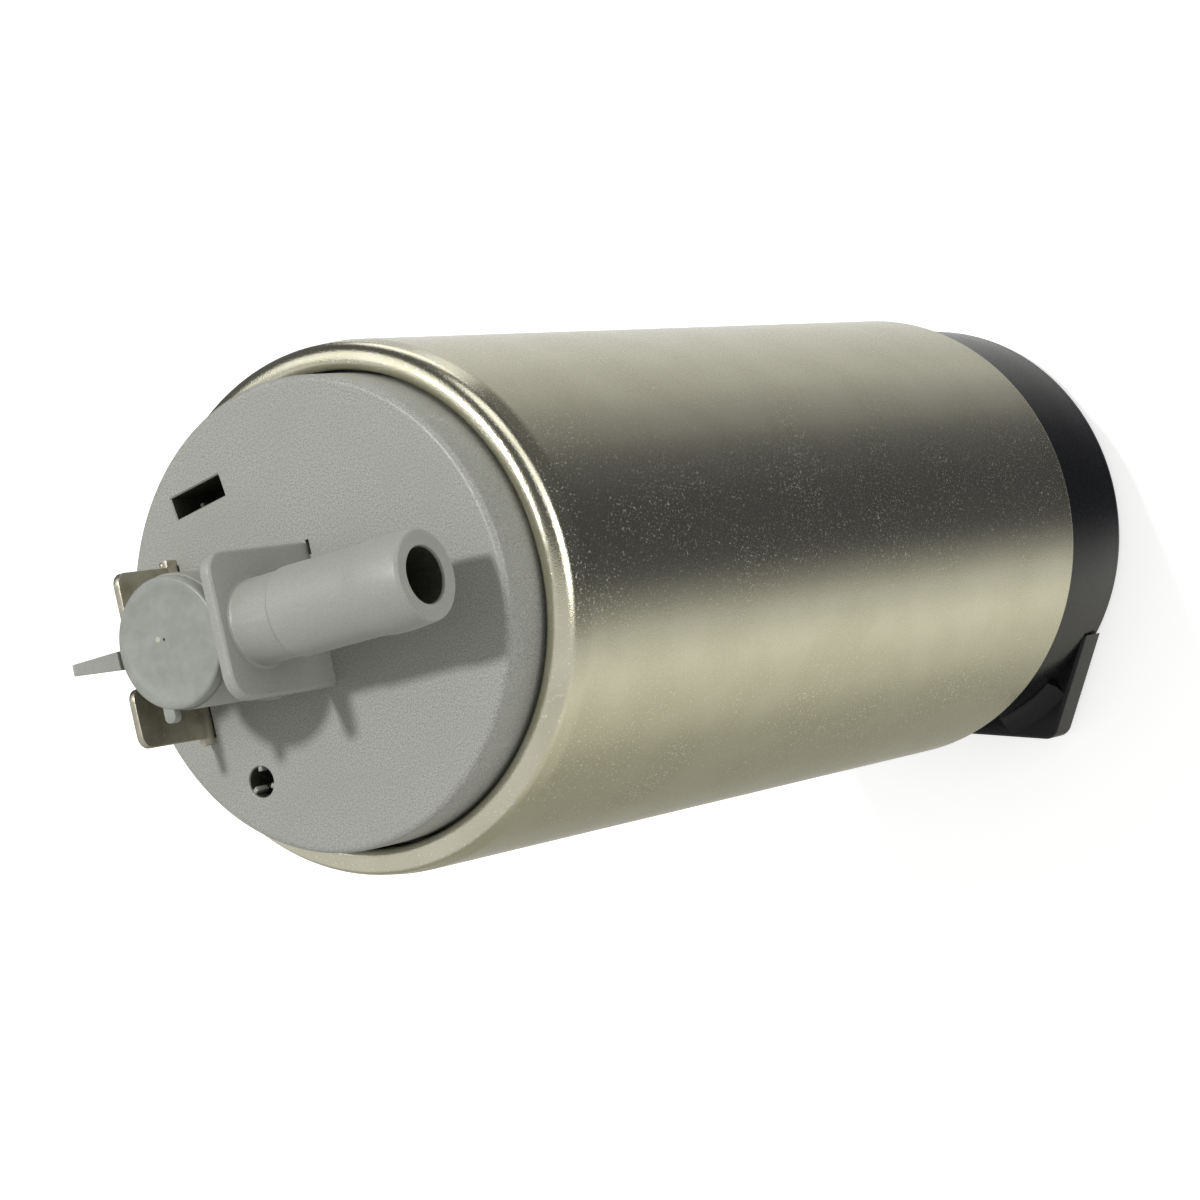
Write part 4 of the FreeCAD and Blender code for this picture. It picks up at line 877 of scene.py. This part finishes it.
studio = {
    "room": (0.84, 0.56), "roomRise": 0.5, "floor": "#F2F2F0", "floorSize": 6, "floorGlow": 0.62,
    # power, size, place
    "lamps": ((3.35, 0.07, (-0.055, 0.27, 0.78)), (1.7, 0.5, (0.82, 0.05, 0.08))), "lampAim": (0, 0, 0.09),
    # bright ceiling, dark wall behind, the way to that wall and how soon it is dark
    "sky": 0.88, "horizon": 0.15, "darkSide": (0.139, 0.99, 0), "darkFrom": 0.22,
    # direction, half width in degrees, brightness
    "boxes": (((-0.38, 0.58, 0.72), 24, 1.7), ((-0.07, 0.38, 0.92), 14, 1.7), ((-0.15, 0.853, -0.5), 17, 2.0),
              ((0.53, 0.84, 0.1), 18, 1.9), ((0.88, 0.47, 0.07), 18, 1.9), ((0.975, 0.21, 0.05), 16, 1.8)),
    # degrees over which a box fades at its edge
    "boxEdge": 4,
    # brightness and warmth that the steel sees low around the pump, from azimuth -180 to 180 degrees
    "cards": ((-180, 1.05, 0), (-158, 0.42, 0.1), (-130, 0.36, 0.17), (-98, 0.4, 0.15), (-74, 0.67, 0.12),
              (-50, 0.9, 0.08), (-34, 0.68, 0.05), (-20, 0.26, 0), (-8, 0.075, -0.15), (20, 0.07, -0.18),
              (44, 0.11, -0.1), (65, 0.32, 0), (90, 0.6, 0.04), (125, 0.74, 0.03), (148, 0.86, 0),
              (166, 1.25, -0.05), (180, 1.05, 0)),
    # share of the warmth that also dims green
    "warmGreen": 0.12,
    # the cards end between these heights, lifted towards +Y
    "cardsEnd": (-0.54, -0.42), "cardsLift": 0.4,
}


def makeFloor(form):
    clearSelection()
    bpy.ops.mesh.primitive_plane_add(size=form["floorSize"], location=(0, 0, 0))
    floor = bpy.context.active_object
    floor.name = "studioFloor"
    floor.visible_glossy = False
    # matt paper that glows a little for the camera alone
    paper = bpy.data.materials.new("whitePaperSweep")
    tree = emptyTree(paper)
    path = addNode(tree, "LightPath")
    seen = addNode(tree, "Math", {0: path.outputs["Is Camera Ray"], 1: form["floorGlow"]},
                   operation="MULTIPLY")
    glow = addNode(tree, "Emission", {"Strength": seen.outputs[0]})
    matt = addNode(tree, "BsdfDiffuse", {"Color": colourOf(form["floor"])})
    both = addNode(tree, "AddShader", {0: glow.outputs[0], 1: matt.outputs[0]})
    addNode(tree, "OutputMaterial", {"Surface": both.outputs[0]})
    floor.data.materials.append(paper)


def hangLamps(form):
    for power, size, place in form["lamps"]:
        lampData = bpy.data.lights.new("softLamp", "AREA")
        lampData.energy, lampData.size, lampData.shape = power, size, "DISK"
        lamp = bpy.data.objects.new("softLamp", lampData)
        bpy.context.scene.collection.objects.link(lamp)
        lamp.location = place
        aim = Vector(form["lampAim"]) - Vector(place)
        lamp.rotation_euler = aim.to_track_quat("-Z", "Y").to_euler()


def lowCards(tree, form, way):
    # a ring of grey and white cards round the pump, which the steel wall mirrors
    azimuth = addNode(tree, "Math", {0: way.outputs[1], 1: way.outputs[0]}, operation="ARCTAN2")
    share = addNode(tree, "MapRange", {"Value": azimuth.outputs[0], "From Min": -math.pi,
                                       "From Max": math.pi})
    cards = addNode(tree, "ValToRGB", {0: share.outputs[0]})
    ramp = cards.color_ramp
    ramp.interpolation = "EASE"
    while len(ramp.elements) < len(form["cards"]):
        ramp.elements.new(0.5)
    for stop, (angle, level, warmth) in zip(ramp.elements, form["cards"]):
        stop.position = (angle + 180) / 360
        stop.color = (level / 2, level / 2 * (1 - warmth * form["warmGreen"]), level / 2 * (1 - warmth), 1)
    return addNode(tree, "Background", {"Color": cards.outputs[0], "Strength": 2.0})


def highRoom(tree, form, direction):
    # above: a bright ceiling towards -Y, a dark room towards +Y with soft boxes that draw lines along the lip
    toDark = addNode(tree, "VectorMath", {0: direction, 1: form["darkSide"]}, operation="DOT_PRODUCT")
    level = addNode(tree, "MapRange", {"Value": toDark.outputs["Value"], "From Min": 0.0,
                                       "From Max": form["darkFrom"], "To Min": form["sky"],
                                       "To Max": form["horizon"]}).outputs[0]
    for place, spread, power in form["boxes"]:
        toBox = addNode(tree, "VectorMath", {0: direction, 1: Vector(place).normalized()},
                        operation="DOT_PRODUCT")
        shine = addNode(tree, "MapRange", {"Value": toBox.outputs["Value"], "To Max": power,
                                           "From Min": math.cos(math.radians(spread + form["boxEdge"])),
                                           "From Max": math.cos(math.radians(spread - form["boxEdge"]))})
        level = addNode(tree, "Math", {0: level, 1: shine.outputs[0]}, operation="MAXIMUM").outputs[0]
    return addNode(tree, "Background", {"Strength": level})


def makeRoom(form):
    # steel sees the cards and the high room, the camera sees white, all else an even fill
    world = bpy.data.worlds.new("studioRoom")
    bpy.context.scene.world = world
    tree = emptyTree(world)
    direction = addNode(tree, "TexCoord").outputs["Generated"]
    way = addNode(tree, "SeparateXYZ", {0: direction})
    low, high = lowCards(tree, form, way), highRoom(tree, form, direction)
    lifted = addNode(tree, "Math", {0: way.outputs[1], 1: form["cardsLift"], 2: way.outputs[2]},
                     operation="MULTIPLY_ADD")
    rise = addNode(tree, "MapRange", {"Value": lifted.outputs[0], "From Min": form["cardsEnd"][0],
                                      "From Max": form["cardsEnd"][1]})
    seenBySteel = addNode(tree, "MixShader", {0: rise.outputs[0], 1: low.outputs[0], 2: high.outputs[0]})
    fill = addNode(tree, "MapRange", {"Value": way.outputs[2], "From Min": 0.0, "From Max": form["roomRise"],
                                      "To Min": form["room"][0], "To Max": form["room"][1]})
    even = addNode(tree, "Background", {"Strength": fill.outputs[0]})
    white = addNode(tree, "Background", {"Color": (1, 1, 1, 1), "Strength": 1.0})
    path = addNode(tree, "LightPath")
    lit = addNode(tree, "MixShader", {0: path.outputs["Is Glossy Ray"], 1: even.outputs[0],
                                      2: seenBySteel.outputs[0]})
    clear = addNode(tree, "Math", {0: path.outputs["Is Camera Ray"], 1: path.outputs["Is Transmission Ray"]},
                    operation="MAXIMUM")
    whole = addNode(tree, "MixShader", {0: clear.outputs[0], 1: lit.outputs[0], 2: white.outputs[0]})
    addNode(tree, "OutputWorld", {"Surface": whole.outputs[0]})


makeFloor(studio)
hangLamps(studio)
makeRoom(studio)
print("lit the studio")

# Camera, from a fit to the can's rims and the cap's face
view = {
    "place": (0.17546, -0.01922, 0.31885), "lens": 106.58, "sensor": 36, "nearest": 0.01,
    "right": (0.7966, -0.2224, -0.5621), "up": (0.2142, 0.9734, -0.0816), "back": (0.5653, -0.0553, 0.8231),
}
cameraData = bpy.data.cameras.new("photoCamera")
cameraData.lens, cameraData.sensor_width = view["lens"], view["sensor"]
cameraData.clip_start = view["nearest"]
camera = bpy.data.objects.new("photoCamera", cameraData)
bpy.context.scene.collection.objects.link(camera)
turn = Matrix((view["right"], view["up"], view["back"])).transposed().to_4x4()
camera.matrix_world = Matrix.Translation(view["place"]) @ turn
bpy.context.scene.camera = camera
bpy.context.scene.view_settings.view_transform = "Standard"

print("placed the camera")
